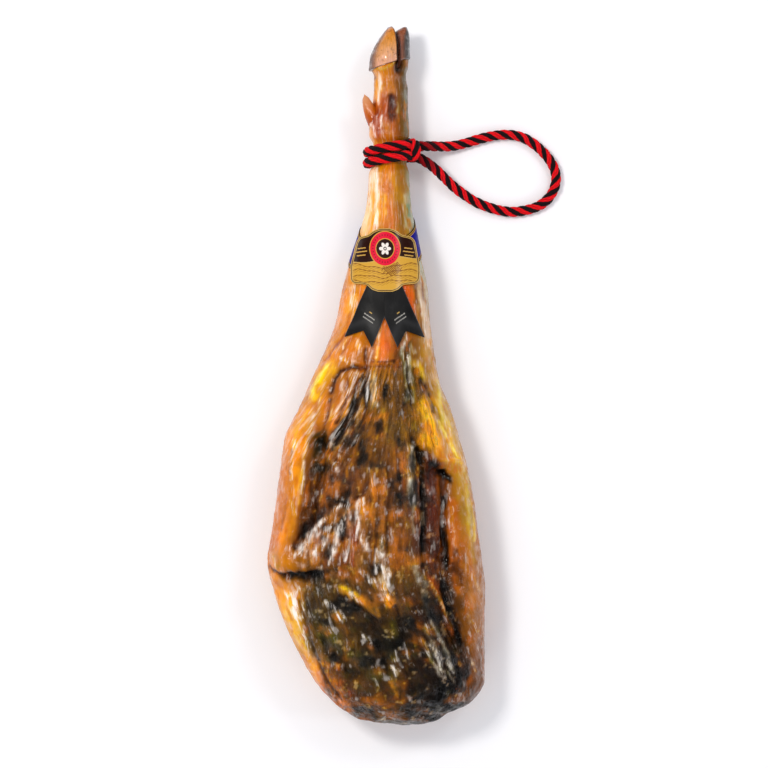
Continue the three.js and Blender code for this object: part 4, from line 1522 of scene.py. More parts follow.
    # fan: painted reflections, grey streaks, with painted shade in a crease among them
    (((56.3, -281.8), (66.7, -309.3), (73.6, -332.3)), 2.4, "D8D4CA", 0.85, 0.6, 0.5),
    (((62.1, -277.1), (74.8, -304.8), (85.1, -334.6)), 1.6, "C4BEB2", 0.8, 0.5, 0.5),
    (((51.7, -300.1), (62.1, -323.1), (75.9, -343.8)), 1.8, "CFC9BD", 0.8, 0.5, 0.5),
    (((69, -290.9), (81.6, -316.2), (89.7, -339.2)), 1.6, "B4AC9E", 0.75, 0.4, 0.5),
    (((59.8, -295.5), (71.3, -323.1), (82.8, -346.1)), 1.2, "1A0C06", 0.8, -0.6, 0.4),
    # right: orange and gold tones, a pale line, and painted shade in a short crease
    (((90.8, -149.5), (92, -189.7), (94.3, -247.2)), 6, "C46414", 0.75, 0.4, 0.5),
    (((87.4, -212.7), (92, -235.7)), 3, "3A1808", 0.7, -0.5, 1),
    (((103.5, -109.2), (108.1, -166.8), (110.4, -212.7)), 5, "C09A38", 0.7, 0, 0.4),
    (((110.4, -143.8), (112.7, -189.7)), 1.8, "F4E0A8", 0.75, 0.3, 0.5),
    (((113.8, -316.2), (110.4, -346.1), (98.9, -366.8)), 5, "8A4A1A", 0.7, 0, 0.5),
    # ridge: a painted highlight along the ridge
    (((-74.8, -184), (-60.9, -165.6), (-41.4, -152.9)), 2.6, "FFF8F4", 0.85, 0.5, 0.9),
    # facet: pale pink, painted highlight streaks, red streaks, and painted shade along a crease
    (((-52.9, -189.7), (-29.9, -171.3), (-11.5, -152.9)), 8, "C49484", 0.6, 0.3, 0.6),
    (((-13.8, -139.1), (-16.1, -166.8), (-13.8, -195.5)), 2, "FFF4EE", 0.8, 0.4, 1),
    (((-71.3, -195.5), (-62.1, -208.1)), 1.8, "F4E4DC", 0.75, 0.3, 1),
    (((-36.8, -178.2), (-34.5, -212.7)), 2.4, "7A2418", 0.6, -0.3, 0.7),
    (((-62.1, -189.7), (-57.5, -219.6)), 2.2, "742618", 0.6, -0.3, 0.7),
    (((-52.9, -219.6), (-29.9, -224.2), (-9.2, -228.8)), 4, "3C2410", 0.8, -1, 0.6),
    # wet: painted highlights, white streaks
    (((-98.9, -244.9), (-92, -256.4), (-83.9, -272.5)), 4.5, "F2EAE4", 0.75, 0.5, 1),
    (((-87.4, -247.2), (-80.5, -265.6)), 2, "FFFFFF", 0.8, 0.4, 1),
    # olive
    (((-66.7, -270.2), (-55.2, -304.8)), 7, "5C5026", 0.6, 0, 0.8),
    # white: a painted highlight
    (((-54, -263.3), (-41.4, -274.8)), 2.4, "F4EEE6", 0.8, 0.4, 0.9),
    # low: mottled rump tones, pale specks that are partly painted highlights, and painted shade in creases
    (((-29.9, -247.2), (-16.1, -258.8)), 1.6, "FFF2E0", 0.7, 0.3, 0.9),
    (((-4.6, -304.8), (4.6, -322)), 4, "B87020", 0.65, 0.5, 0.9),
    (((-20.7, -332.3), (-11.5, -355.3)), 4.5, "9C5C1A", 0.65, 0.4, 0.9),
    (((32.2, -330), (39.1, -362.2)), 5, "8A4A16", 0.7, 0.4, 0.8),
    (((-48.3, -362.2), (-29.9, -380.6)), 5, "B4601C", 0.65, 0.3, 0.8),
    (((-41.4, -307), (-34.5, -336.9)), 4, "20140A", 0.7, -0.8, 0.9),
    (((-11.5, -279.4), (-9.2, -309.3)), 4, "26180A", 0.7, -0.8, 0.9),
    (((39.1, -362.2), (62.1, -378.3)), 7, "1A0E06", 0.8, -0.6, 0.7),
    (((32.2, -304.8), (36.8, -318.5)), 1.6, "F0E8DC", 0.7, 0.3, 0.9),
    (((-2.3, -341.5), (2.3, -355.3)), 1.4, "F4E4C8", 0.65, 0.3, 0.9),
    (((-39.1, -346.1), (-29.9, -355.3)), 1.4, "E8D4B4", 0.6, 0.3, 0.9),
    # shank: painted highlight streaks, a red patch and a pale pink tone
    (((-23, 86.2), (-27.6, 51.7)), 2, "FFE8D0", 0.75, 0.3, 0.5),
    (((-13.8, 90.8), (-18.4, 51.7)), 1.4, "FFF2E4", 0.7, 0.3, 0.6),
    (((37.9, 100), (41.4, 63.2)), 5, "DC4A14", 0.7, 0, 0.4),
    (((55.2, 102.3), (62.1, 40.2)), 5, "E0B49C", 0.6, 0.2, 0.6),
    (((50.6, 86.2), (59.8, 34.5)), 1.4, "FFF0E4", 0.75, 0.3, 0.7),
    # under: red-orange tone, with a painted highlight streak
    (((9.2, 60.9), (11.5, 33.3)), 8, "D85C18", 0.7, 0.5, 0.6),
    (((3.4, 56.3), (4.6, 37.9)), 2, "FFE0BC", 0.7, 0.3, 0.7),
    # hock: painted highlights
    (((-50.6, 37.9), (-59.8, 26.4)), 1.8, "FFEBD0", 0.7, 0.3, 0.7),
    (((-31, 42.5), (-36.8, 34.5)), 1.6, "FFF0DC", 0.7, 0.3, 0.8),
    # right: painted shade in a crease, with a pale fleck
    (((32.2, 42.5), (39.1, 28.7)), 4, "5A4630", 0.6, -0.6, 0.7),
    (((37.9, 40.2), (43.7, 26.4)), 1.6, "D8D0BC", 0.7, 0.3, 0.8),
    # ankle: painted shadow beside the dewclaw
    (((-5.8, 311.6), (-2.3, 293.2)), 4, "7A2018", 0.6, -0.5, 0.6),
    # foot
    (((9.2, 311.6), (11.5, 293.2)), 5, "9C3020", 0.5, 0, 0.7),
    # shank: a greenish painted reflection along its right edge, with tan and orange tones
    (((37.9, 212.7), (42.5, 187.4)), 2.2, "6E8A64", 0.5, 0, 0.5),
    (((18.4, 226.5), (25.3, 201.2)), 5, "D89A40", 0.6, 0, 0.5),
    (((8, 235.7), (9.2, 187.4)), 1.6, "B4581C", 0.45, 0, 0.6),
    # wine: red-wine tone, with painted shadow beside the dewclaw
    (((-2.3, 309.3), (1.1, 281.8)), 5, "98281A", 0.75, 0, 0.6),
    (((-5.8, 311.6), (-2.3, 300.1)), 3, "5A1410", 0.7, -0.6, 0.4),
    # wrinkle: painted highlights on the wrinkles
    (((-9.2, 302.4), (-5.8, 292.1)), 1.3, "FFF0EE", 0.85, 0.3, 0.7),
    (((-5.8, 288.6), (-1.1, 277.1)), 1.5, "FFF0EE", 0.85, 0.3, 0.7),
    (((4.6, 293.2), (8, 284)), 1.4, "FFF0EC", 0.8, 0.3, 0.7),
    (((1.1, 280.6), (9.2, 273.7)), 1.5, "FCE4DA", 0.8, 0.3, 0.7),
    # foot: a pale painted highlight on its left side, orange tone, painted shade down its right side, and a
    # grey mark
    (((4.6, 341.5), (5.8, 327.8)), 2.2, "F4D4BC", 0.8, 0.2, 0.5),
    (((13.8, 348.4), (17.2, 325.4)), 4.5, "C87A1C", 0.6, 0, 0.5),
    (((26.4, 334.6), (28.7, 304.8)), 4, "7A5A38", 0.6, 0, 0.5),
    (((24.1, 311.6), (25.3, 302.4)), 2, "C8C0A0", 0.7, 0.2, 0.5),
    # dark: painted shade in the tendon dimple
    (((17.2, 316.2), (19.5, 295.5)), 4.2, "4A120A", 0.8, -0.6, 0.5),
    # shank: painted highlight streaks, orange and pale tones, and a grey and a greenish painted reflection
    # near its right edge
    (((-1.1, 233.4), (2.3, 201.2), (-1.1, 164.4)), 2.6, "FFFAF4", 0.85, 0.2, 0.6),
    (((-6.9, 228.8), (-5.8, 189.7)), 1.6, "FFF4EC", 0.7, 0.2, 0.6),
    (((11.5, 226.5), (16.1, 208.1)), 3, "D4772C", 0.6, 0, 0.7),
    (((13.8, 192), (16.1, 164.4)), 4, "D05A14", 0.7, 0, 0.6),
    (((9.2, 205.8), (10.3, 185.1)), 2.4, "F8D8B0", 0.7, 0, 0.6),
    (((33.3, 205.8), (34.5, 171.3)), 3, "C8C8B4", 0.7, 0, 0.6),
    (((36.8, 194.3), (37.9, 182.8)), 2, "6C9A78", 0.6, 0, 0.5),
    # side: pale pinkish tones, with painted shade in its creases
    (((49.4, 113.8), (55.2, 86.2)), 7, "C8B4A8", 0.75, 0, 0.5),
    (((43.7, 104.6), (46, 81.6)), 2.4, "6A4030", 0.7, -0.4, 0.6),
    (((54, 106.9), (58.6, 79.3)), 2, "7A4C38", 0.65, -0.4, 0.6),
    (((55.2, 77), (62.1, 44.8)), 5, "CDB8AC", 0.65, 0, 0.5),
    (((49.4, 74.8), (54, 47.1)), 2, "8A4A2C", 0.6, -0.3, 0.6),
    # under
    (((32.2, 104.6), (37.9, 79.3)), 3.6, "E84A0C", 0.8, 0, 0.3),
    # left: painted highlights, orange tone, and painted shade in a crease
    (((-25.3, 97.7), (-29.9, 79.3)), 3.2, "FFF2E6", 0.8, 0.3, 0.6),
    (((-20.7, 77), (-26.4, 58.6)), 2.4, "FFF0E2", 0.8, 0.3, 0.6),
    (((-34.5, 90.8), (-40.2, 65.5)), 4.4, "F08A34", 0.6, 0, 0.5),
    (((-14.9, 86.2), (-23, 65.5), (-32.2, 51.7)), 1.5, "9A4414", 0.7, -0.7, 0.5),
    # tail: orange-red tones, with a painted highlight streak
    (((9.2, 60.9), (10.3, 40.2)), 5, "E86812", 0.75, 0.4, 0.5),
    (((2.3, 47.1), (2.3, 31)), 2, "FFF4E8", 0.85, 0.3, 0.7),
    (((13.8, 40.2), (16.1, 26.4)), 3, "B83C10", 0.65, 0, 0.7),
    # fleck: a pale fleck, partly painted highlight, and painted shade in a crease
    (((33.3, 42.5), (31, 26.4)), 2.6, "E0DCD0", 0.75, 0.4, 0.8),
    (((39.1, 37.9), (37.9, 21.8)), 2.4, "3A2A14", 0.75, -0.8, 0.7),
    # yellow
    (((-52.9, 10.3), (-64.4, -5.8), (-71.3, -19.5)), 3, "FFF0A8", 0.8, 0.3, 0.4),
    # left: orange tone, with a painted highlight line
    (((-88.5, -109.2), (-90.8, -143.8), (-96.6, -178.2)), 4.5, "F49A24", 0.7, 0.4, 0.4),
    (((-81.6, -100), (-83.9, -134.5)), 1.8, "FFF0D0", 0.85, 0.3, 0.4),
    # knob
    (((-115, -203.5), (-101.2, -212.7)), 7, "E0882C", 0.7, 0.8, 0.4),
    # fold: painted shade in the fold
    (((-103.5, -227.7), (-87.4, -228.8), (-66.7, -226.5), (-57.5, -223.1)), 4.6, "050201", 0.95, -2.2, 0.3),
    # facet: pink tone, painted highlight streaks, and painted shade in two red creases
    (((-66.7, -195.5), (-48.3, -175.9), (-27.6, -157.5)), 9, "B88878", 0.5, 0.3, 0.6),
    (((-27.6, -141.4), (-36.8, -166.8), (-48.3, -198.9)), 2.2, "FFF6F2", 0.85, 0.4, 0.9),
    (((-18.4, -143.8), (-23, -171.3), (-29.9, -208.1)), 2, "FFF2EC", 0.85, 0.4, 0.9),
    (((-46, -159.8), (-55.2, -180.5), (-66.7, -203.5)), 2.2, "FFF6F2", 0.85, 0.4, 0.9),
    (((-73.6, -185.1), (-82.8, -198.9), (-92, -208.1)), 2.4, "F8ECE4", 0.8, 0.3, 0.9),
    (((-36.8, -189.7), (-41.4, -215)), 1.8, "FFF2EC", 0.8, 0.3, 0.9),
    (((-23, -166.8), (-25.3, -212.7)), 2.6, "8A2A1E", 0.65, -0.4, 0.7),
    (((-43.7, -203.5), (-39.1, -221.9)), 2.4, "7A2018", 0.65, -0.4, 0.7),
    # centre: brown and orange tones, with painted shade in two creases
    (((11.5, -143.8), (13.8, -212.7)), 1.6, "3C1E08", 0.6, -0.5, 0.7),
    (((25.3, -109.2), (28.7, -189.7)), 1.6, "4A2A0C", 0.6, -0.5, 0.7),
    (((-4.6, -143.8), (-3.4, -212.7)), 1.6, "D8842C", 0.6, 0.4, 0.7),
    (((4.6, -63.2), (2.3, -109.2)), 8, "A86418", 0.55, 0.5, 0.7),
    (((27.6, -51.7), (32.2, -97.7)), 5, "9A6A1E", 0.6, 0.3, 0.7),
    # meat
    (((-34.5, -109.2), (-27.6, -132.2)), 3, "4A2008", 0.6, -0.6, 1),
    (((-20.7, -86.2), (-11.5, -104.6)), 3, "D07A24", 0.55, 0.3, 1),
    (((-41.4, -88.5), (-48.3, -116.1)), 3, "8A4A1C", 0.6, 0.3, 1),
    # deep: red muscle, with painted shade in a narrow groove
    (((62.1, -109.2), (64.4, -166.8)), 5, "6A1C0C", 0.7, -0.5, 0.5),
    (((74.8, -120.7), (78.2, -178.2), (80.5, -230)), 2, "060201", 0.9, -1.2, 0.4),
    # lip: painted shadow under the lip, the lip's tone and its pale edge
    (((64.4, -100), (73.6, -109.2), (82.8, -118.4)), 3.6, "060302", 0.9, -1.6, 0.3),
    (((71.3, -92), (82.8, -97.7), (96.6, -95.4)), 3.2, "D89030", 0.8, 1.2, 0.3),
    (((87.4, -95.4), (96.6, -93.1)), 1.4, "F0C060", 0.8, 0.4, 0.4),
    # amber
    (((55.2, -33.3), (62.1, -60.9), (69, -83.9)), 8, "F0A01C", 0.8, 1.2, 0.3),
    (((50.6, -31), (55.2, -49.4)), 3, "FFC848", 0.7, 0.4, 0.4),
    # bulb: a painted highlight
    (((73.6, -40.2), (85.1, -60.9)), 1.8, "FFF0C8", 0.8, 0.3, 0.8),
    # side
    (((64.4, -24.1), (80.5, -49.4)), 4, "DDB070", 0.6, 0.2, 0.6),
    # right: orange tones, painted shade in two creases, and a painted highlight
    (((103.5, -189.7), (112.7, -258.8)), 6, "CC7420", 0.6, 0, 0.5),
    (((89.7, -198.9), (96.6, -235.7)), 3.4, "54280C", 0.7, -0.4, 1),
    (((85.1, -258.8), (92, -281.8)), 3, "3A1C0A", 0.7, -0.4, 1),
    (((103.5, -270.2), (112.7, -316.2)), 7, "9A5418", 0.6, 0, 0.5),
    (((104.6, -322), (112.7, -336.9)), 1.6, "FFE8C0", 0.7, 0.2, 1),
    # low: mould and rump tones, white marks which the gleam also treats as painted highlight, and a dark band
    # at the base
    (((-27.6, -304.8), (-4.6, -336.9)), 10, "4C4418", 0.55, 0, 0.8),
    (((-52.9, -287.5), (-35.6, -316.2)), 8, "5A5424", 0.55, 0, 0.8),
    (((-46, -327.8), (-39.1, -350.8)), 4, "B4401A", 0.6, 0.2, 0.9),
    (((13.8, -362.2), (32.2, -373.7)), 5, "8C4212", 0.6, 0.2, 0.9),
    (((9.2, -288.6), (18.4, -316.2)), 4, "9C7A24", 0.6, 0.3, 0.9),
    (((18.4, -330), (24.1, -336.9)), 2.4, "FFFFFF", 0.9, 0.4, 0.8),
    (((23, -310.5), (24.1, -322)), 1.6, "F4F0E8", 0.8, 0.3, 0.8),
    (((-52.9, -272.5), (-48.3, -286.3)), 2, "F0ECE6", 0.8, 0.3, 0.9),
    (((-13.8, -295.5), (-6.9, -304.8)), 1.6, "F0E8DC", 0.75, 0.3, 0.9),
    (((-64.4, -341.5), (-50.6, -366.8), (-29.9, -385.2)), 5, "D06A18", 0.75, 0, 0.5),
    (((-27.6, -389.8), (16.1, -399), (62.1, -392.1)), 3.4, "2A140A", 0.7, 0, 0.5),
    # black
    (((75.9, -353), (94.3, -364.5), (87.4, -380.6)), 8, "060403", 0.85, -1, 0.5),
    # wrist: pink-red tone, with painted highlights
    (((-4.6, 302.4), (0, 277.1)), 6, "B04A34", 0.5, 0, 0.5),
    (((-10.3, 300.1), (-6.9, 286.3)), 1.4, "FFF2F0", 0.9, 0.3, 0.6),
    (((-1.1, 297.8), (2.3, 284)), 1.2, "FFF0EC", 0.85, 0.3, 0.6),
    (((5.8, 290.9), (6.9, 277.1)), 1.2, "FCE8E0", 0.85, 0.3, 0.6),
    # coronet
    (((20.7, 361.1), (29.9, 365.7)), 1.8, "C8C4B0", 0.8, 0.5, 0.3),
    (((-4.6, 355.3), (6.9, 355.3)), 1.4, "E8B098", 0.8, 0.3, 0.3),
    # low
    (((-4.6, -258.8), (2.3, -304.8)), 12, "3A2410", 0.5, 0, 0.7),
    (((27.6, -304.8), (32.2, -336.9)), 7, "40260C", 0.55, 0, 0.8),
    (((-23, -362.2), (0, -378.3)), 8, "4A2408", 0.55, 0, 0.8),
    (((-36.8, -341.5), (-29.9, -362.2)), 4, "A03A14", 0.6, 0, 0.9),
    # belly
    (((-4.6, -63.2), (-11.5, -109.2)), 6, "A8621A", 0.5, 0, 0.8),
    (((-29.9, -109.2), (-23, -132.2)), 6, "3A1A08", 0.55, 0, 0.9),
    (((23, -120.7), (25.3, -166.8)), 5, "5A340E", 0.55, 0, 0.8),
    (((32.2, -166.8), (32.2, -212.7)), 5, "A8641C", 0.55, 0, 0.7),
    # facet: pinkish tones, with painted highlight streaks
    (((-62.1, -189.7), (-43.7, -171.3), (-25.3, -152.9)), 8, "8A5A4C", 0.55, 0, 0.7),
    (((-36.8, -203.5), (-27.6, -178.2)), 7, "7A4034", 0.5, 0, 0.7),
    (((-52.9, -180.5), (-59.8, -198.9)), 1.4, "FFF8F6", 0.9, 0.4, 0.8),
    (((-39.1, -162.1), (-47.1, -185.1)), 1.4, "FFF6F2", 0.9, 0.4, 0.8),
    (((-27.6, -152.9), (-34.5, -175.9)), 1.4, "FFF6F2", 0.9, 0.4, 0.8),
    (((-18.4, -157.5), (-23, -182.8)), 1.3, "FFF2EC", 0.85, 0.4, 0.8),
    (((-29.9, -185.1), (-34.5, -208.1)), 1.3, "FFF2EC", 0.85, 0.4, 0.8),
    (((-48.3, -196.6), (-52.9, -212.7)), 1.3, "FFF2EC", 0.85, 0.4, 0.8),
    # left
    (((-106.9, -109.2), (-112.7, -155.2), (-119.6, -195.5)), 4, "C8641C", 0.6, 0, 0.6),
    (((-94.3, -86.2), (-98.9, -109.2)), 2, "7A3A10", 0.6, -0.3, 1),
    (((-103.5, -143.8), (-108.1, -178.2)), 2.4, "9A4A14", 0.5, -0.3, 1),
    # fissure
    (((29.9, 26.4), (36.8, 3.4), (39.1, -26.4)), 7, "4C4224", 0.65, -0.6, 0.7),
    (((32.2, 26.4), (33.3, 3.4)), 1.3, "E6E2D2", 0.85, 0.4, 0.8),
    (((37.9, 21.8), (40.2, -8)), 1.3, "DCD8C8", 0.85, 0.4, 0.8),
    (((32.2, -8), (36.8, -28.7)), 1.2, "D8D4C0", 0.8, 0.4, 0.8),
    # strip: painted highlights
    (((-8, 3.4), (-9.2, -33.3)), 1.8, "FFF6EA", 0.85, 0.4, 0.6),
    (((0, -1.1), (1.1, -37.9)), 1.4, "FFEFD8", 0.75, 0.3, 0.6),
    # groove: painted reflections along the groove
    (((37.9, -81.6), (35.6, -109.2), (40.2, -143.8)), 3, "C4C4B8", 0.85, 0.4, 0.5),
    (((42.5, -143.8), (41.4, -178.2)), 1.8, "A8A498", 0.75, 0.3, 0.6),
    # wrist: red tones, with painted shadow beside the dewclaw
    (((2.3, 309.3), (4.6, 279.4)), 5, "A02C18", 0.7, 0, 0.6),
    (((-6.9, 307), (-4.6, 290.9)), 3.4, "8A1E18", 0.7, -0.4, 0.6),
    (((9.2, 318.5), (11.5, 295.5)), 4, "B03C1C", 0.55, 0, 0.6),
    # dimple: painted shade in the tendon dimple
    (((18.4, 318.5), (19.5, 297.8)), 4.4, "4A0C06", 0.8, -0.6, 0.5),
    # wrist: painted highlights
    (((-9.2, 297.8), (-5.8, 284)), 1.4, "FFF2F0", 0.9, 0.3, 0.7),
    (((-4.6, 290.9), (-1.1, 277.1)), 1.3, "FFF0EE", 0.85, 0.3, 0.7),
    (((5.8, 295.5), (6.9, 284)), 1.3, "FFF0EC", 0.85, 0.3, 0.7),
    (((3.4, 325.4), (4.6, 311.6)), 1.5, "FFE8DC", 0.8, 0.3, 0.7),
    # foot: a painted highlight on its left side
    (((4.6, 346.1), (4.6, 330)), 2.2, "FFEADC", 0.8, 0.2, 0.4),
    # ankle: orange tone, with painted shade down its right side
    (((11.5, 288.6), (16.1, 274.8)), 4, "D88424", 0.65, 0, 0.5),
    (((29.9, 297.8), (32.2, 274.8)), 4, "7A6040", 0.6, 0, 0.5),
))

# Place along the leg, then the tones from its left edge to its right edge. Along the shank the left tones are
# pale, painted light on its lit side, and the right tones greyish, a painted reflection along its right edge.
WASH: tuple[tuple[float, tuple[str, ...]], ...] = (
    (-402, ("7A3C14", "4A2A0C", "3E240C", "1E1008", "5A3018")),
    (-356, ("C86820", "5A3410", "4E3210", "1A0C06", "804418")),
    (-305, ("E89A3C", "5A3C0E", "5C3C10", "2A160A", "A05A1C")),
    (-247, ("E08C30", "503614", "6A4216", "4A2A18", "AA6420")),
    (-195, ("D0701C", "86543C", "885A3C", "5A2812", "AC6420")),
    (-144, ("D87818", "7A3E14", "80481E", "6A280F", "B67828")),
    (-98, ("DA7C18", "8E4C14", "7E4C1C", "7A4016", "C88C30")),
    (-52, ("E08820", "B86614", "80501E", "64461A", "D0943A")),
    (0, ("DC8C34", "B0642A", "9C6430", "80501E", "C08C50")),
    (46, ("D87C38", "CC7830", "B86224", "9A5A2A", "B48C60")),
    (86, ("E08C50", "D87C30", "C06A28", "A06030", "B0A080")),
    (132, ("E89C68", "DC8638", "CC7428", "A06A30", "A8A88C")),
    (184, ("FBCFA5", "E8964A", "D97F30", "A9702F", "C0BBA8")),
    (236, ("FBD3B0", "E09050", "D87C30", "A06C30", "A09C84")),
    (282, ("F0C0A0", "C87850", "B4562C", "9A5228", "807058")),
    (334, ("E0A070", "D08040", "B86428", "8A4A20", "70604A")),
    (378, ("E0A070", "D08040", "B86428", "8A4A20", "70604A")),
)


@dataclass
class HamBody:
    """The leg as one fine skin, its creases and tones laid on in strokes, with its small toes. Many strokes
    are painted shade in creases and hollows, and many are painted highlights.

    Attributes:
        rows: Rings along the leg.
        columns: Points round each ring.
        under_share: How much sparser the rings are on the underside.
        coronet: Where the horn line crosses the leg, across and along, in mm.
        slope: Rise of that line to the right.
        meat_line: Middle line of the open meat, in plan.
        meat_half: Half width of the open meat along that line.
        toes: Points and radii of each small toe.
        wash_places: Where the columns of the wash lie, as shares of the half width.
        rind: Tones of the rind: light, mid, dark and fatty.
        fleck: Tone of the pale flecks on the meat.
        vein: Tone of the veins in the skin.
        ember: Tone of the warm patches.
        mould: Tone of the olive bloom near the rump.
        toe_root: Tone of a small toe where it leaves the leg.
        toe_tip: Tone of its tip.
    """

    rows: int = 425
    columns: int = 224
    under_share: float = 0.38
    coronet: tuple[float, float] = (15.0, 358.5)
    slope: float = math.tan(math.radians(17))
    meat_line: Table = ((20, -2), (8, -60), (-4, -120), (-8, -190), (4, -260), (18, -330), (28, -385))
    meat_half: Table = (
        (-402, 78), (-330, 84), (-250, 84), (-180, 82), (-120, 72), (-60, 58), (-5, 40), (20, 18))
    toes: tuple[Table, ...] = (
        ((12, 284, 38, 11), (3, 290, 42, 10.6), (-4, 300, 45, 8.8), (-9.6, 312, 47, 5.9),
         (-13.4, 324, 47, 2.4)),
        ((12, 282, 34, 11), (3, 288, 33, 10), (-3, 297, 31, 8), (-8, 308, 30, 5.4), (-11.3, 318, 30, 2.4)),
    )
    wash_places: tuple[float, ...] = (-0.96, -0.55, 0.0, 0.55, 0.96)
    rind: tuple[str, ...] = ("D8913C", "B4661E", "8A4A1A", "E8B870")
    fleck: str = "F0D8C0"
    vein: str = "C85A10"
    ember: str = "DC7410"
    mould: str = "55501C"
    toe_root: str = "B85034"
    toe_tip: str = "D8A088"

    def angles(self) -> np.ndarray:
        """Angles of even arc length, denser on the upper side.

        Returns:
            One angle for each column.
        """
        theta = np.linspace(-math.pi / 2, 1.5 * math.pi, 3000)
        s, c = np.sin(theta), np.cos(theta)
        x, z = 125 * np.sign(c) * np.abs(c) ** 0.85, 70 * np.sign(s) * np.abs(s) ** 0.85
        step = np.hypot(np.diff(x), np.diff(z)) * np.where(s[1:] > -0.15, 1.0, self.under_share)
        along = np.concatenate([[0], np.cumsum(step)])
        return np.interp(np.linspace(0, along[-1], self.columns, endpoint=False), along, theta)

    def places(self) -> np.ndarray:
        """Places along the leg, closer together where it widens fast.

        Returns:
            One place for each row.
        """
        y = np.linspace(LEG.start, self.coronet[1], 4000)
        step = np.sqrt(np.diff(y) ** 2 + 0.5 * np.diff(LEG.left(y)) ** 2 + 0.5 * np.diff(LEG.right(y)) ** 2)
        along = np.concatenate([[0], np.cumsum(step)])
        return np.interp(np.linspace(0, along[-1], self.rows), along, y)

    def skin(self) -> tuple[np.ndarray, np.ndarray]:
        """Smooth grid of the leg, its last rows leaning into the coronet.

        Returns:
            The grid and the sine of each point's angle.
        """
        y, angle = self.places()[:, None], self.angles()[None, :]
        x = LEG.at(y, angle)[..., 0]
        lean = ramp(y, 322, self.coronet[1]) * self.slope * (x - self.coronet[0])
        grid = LEG.at(y + lean, angle)
        return grid, np.broadcast_to(np.sin(angle), grid.shape[:2])

    def calm(self, x: np.ndarray, y: np.ndarray) -> np.ndarray:
        """Where the label and rope lie on the leg, and its form stays as CAD has it.

        Args:
            x: Places across.
            y: Places along.

        Returns:
            0 there, 1 elsewhere.
        """
        band = ramp(y, 100, 112) * ramp(y, 206, 194)
        rope = ramp(y, 228, 236) * ramp(y, 284, 274)
        tails = ramp(y, 30, 42) * ramp(y, 112, 100) * ramp(np.abs(x - 9.7), 56, 44)
        return (1 - band) * (1 - rope) * (1 - 0.8 * tails)

    def painted(self, grid: np.ndarray, sine: np.ndarray) -> tuple[np.ndarray, ...]:
        """Tones, relief and open meat from the wash and the strokes.

        Each stroke covers exp(-(d/w)^2.4) of what lies under it, where d is the distance in plan
        to its line from a point moved by noise, and adds lift times the same share.

        Args:
            grid: The smooth skin.
            sine: Sine of each point's angle.

        Returns:
            Tones, relief in mm, the share of open meat and the gleam mask, where a painted highlight goes.
        """
        x, y = grid[..., 0].ravel(), grid[..., 1].ravel()
        flat = grid.reshape(-1, 3)
        flow = self.flow(flat)
        wander = [lattice_noise(flat, seed, 4, (8, 13, 8)) for seed in (3, 4)]
        broken = lattice_noise(flow, 7, 3, (3.5, 11, 5))
        broad = [lattice_noise(flat / 30.0, seed, 2) for seed in (5, 6)]
        stations = np.array([row[0] for row in WASH], float)
        tones = np.array([[srgb(code) for code in row[1]] for row in WASH])
        across = np.clip((x - LEG.middle(y)) / LEG.reach(y) + 0.14 * broad[0], -1, 1)
        ends = np.array(self.wash_places)
        shifted = y + 12 * broad[1]
        along = np.stack([[np.interp(shifted, stations, tones[:, k, c]) for c in range(3)] for k in range(5)])
        k = np.clip(np.searchsorted(ends, across) - 1, 0, 3)
        t = ramp(across, ends[k], ends[k + 1])[:, None]
        picked = np.arange(len(x))
        tone = along[k, :, picked] * (1 - t) + along[k + 1, :, picked] * t
        upper = ramp(sine.ravel(), -0.05, 0.45)
        lift, wet = np.zeros(len(x)), np.zeros(len(x))
        for stroke in STROKES:
            reach = stroke.ragged * (0.8 * stroke.half + 4.5)
            d = distance_to(stroke.line, x + reach * wander[0], y + 1.6 * reach * wander[1])
            share = np.exp(-((d / stroke.half) ** 2.2)) * upper
            lift += stroke.lift * share
            dabs = 1 - 0.9 * stroke.ragged * ramp(broken, 0.12, -0.3)
            cover = share * np.clip(dabs, 0, 1) * stroke.strength
            # Pale strokes set the gleam mask, a painted highlight, and cover the tone less.
            wet = wet * (1 - cover) + stroke.gleam * cover
            cover = (cover * (1 - 0.45 * stroke.gleam))[:, None]
            tone = tinted(tone, stroke.colour, cover)
        half = np.interp(y, *np.array(self.meat_half, float).T)
        meat = ramp(distance_to(self.meat_line, x, y) + 8 * wander[0], half * 1.06, half * 0.88)
        meat = meat * ramp(sine.ravel(), 0.1, 0.4)
        return tone, lift, meat, wet

    @staticmethod
    def flow(flat: np.ndarray) -> np.ndarray:
        """Coordinates that follow the leg: the share of the half width, then along and up.

        Fibres lean out to the left below the hock and out to the right near the rump.

        Args:
            flat: Points in mm.

        Returns:
            Coordinates in mm, in which a fibre keeps its first value.
        """
        y = flat[:, 1]
        wide = np.maximum(y, -300.0)
        share = (flat[:, 0] - LEG.middle(wide)) / LEG.reach(wide)
        left = 0.3 * np.clip(6 - y, 0, 110) * ramp(share, 0.9, -0.9)
        right = 0.22 * np.clip(-240 - y, 0, 110) * ramp(share, -0.7, 0.9)
        return np.stack([84 * share + left - right, y, 0.3 * flat[:, 2]], axis=1)

    def underside(self, grid: np.ndarray, sine: np.ndarray, tone: np.ndarray) -> np.ndarray:
        """Rind tones for the sides and underside, which carry no strokes.

        Args:
            grid: The smooth skin.
            sine: Sine of each point's angle.
            tone: The tones so far.

        Returns:
            The tones with the rind laid in.
        """
        flat = grid.reshape(-1, 3)
        rind = np.array([srgb(code) for code in self.rind])
        patch = lattice_noise(flat / 26.0, 11, 4)
        pale = lattice_noise(flat / 60.0, 12, 3)
        low = ramp(sine.ravel(), 0.1, -0.5)[:, None]
        body = rind[0] + (rind[1] - rind[0]) * ramp(patch, -0.4, 0.3)[:, None]
        body = body + (rind[2] - body) * (0.7 * ramp(patch, 0.15, 0.6))[:, None]
        body = body + (rind[3] - body) * (0.7 * ramp(pale, 0.1, 0.5))[:, None]
        return tone * (1 - 0.85 * low) + body * 0.85 * low

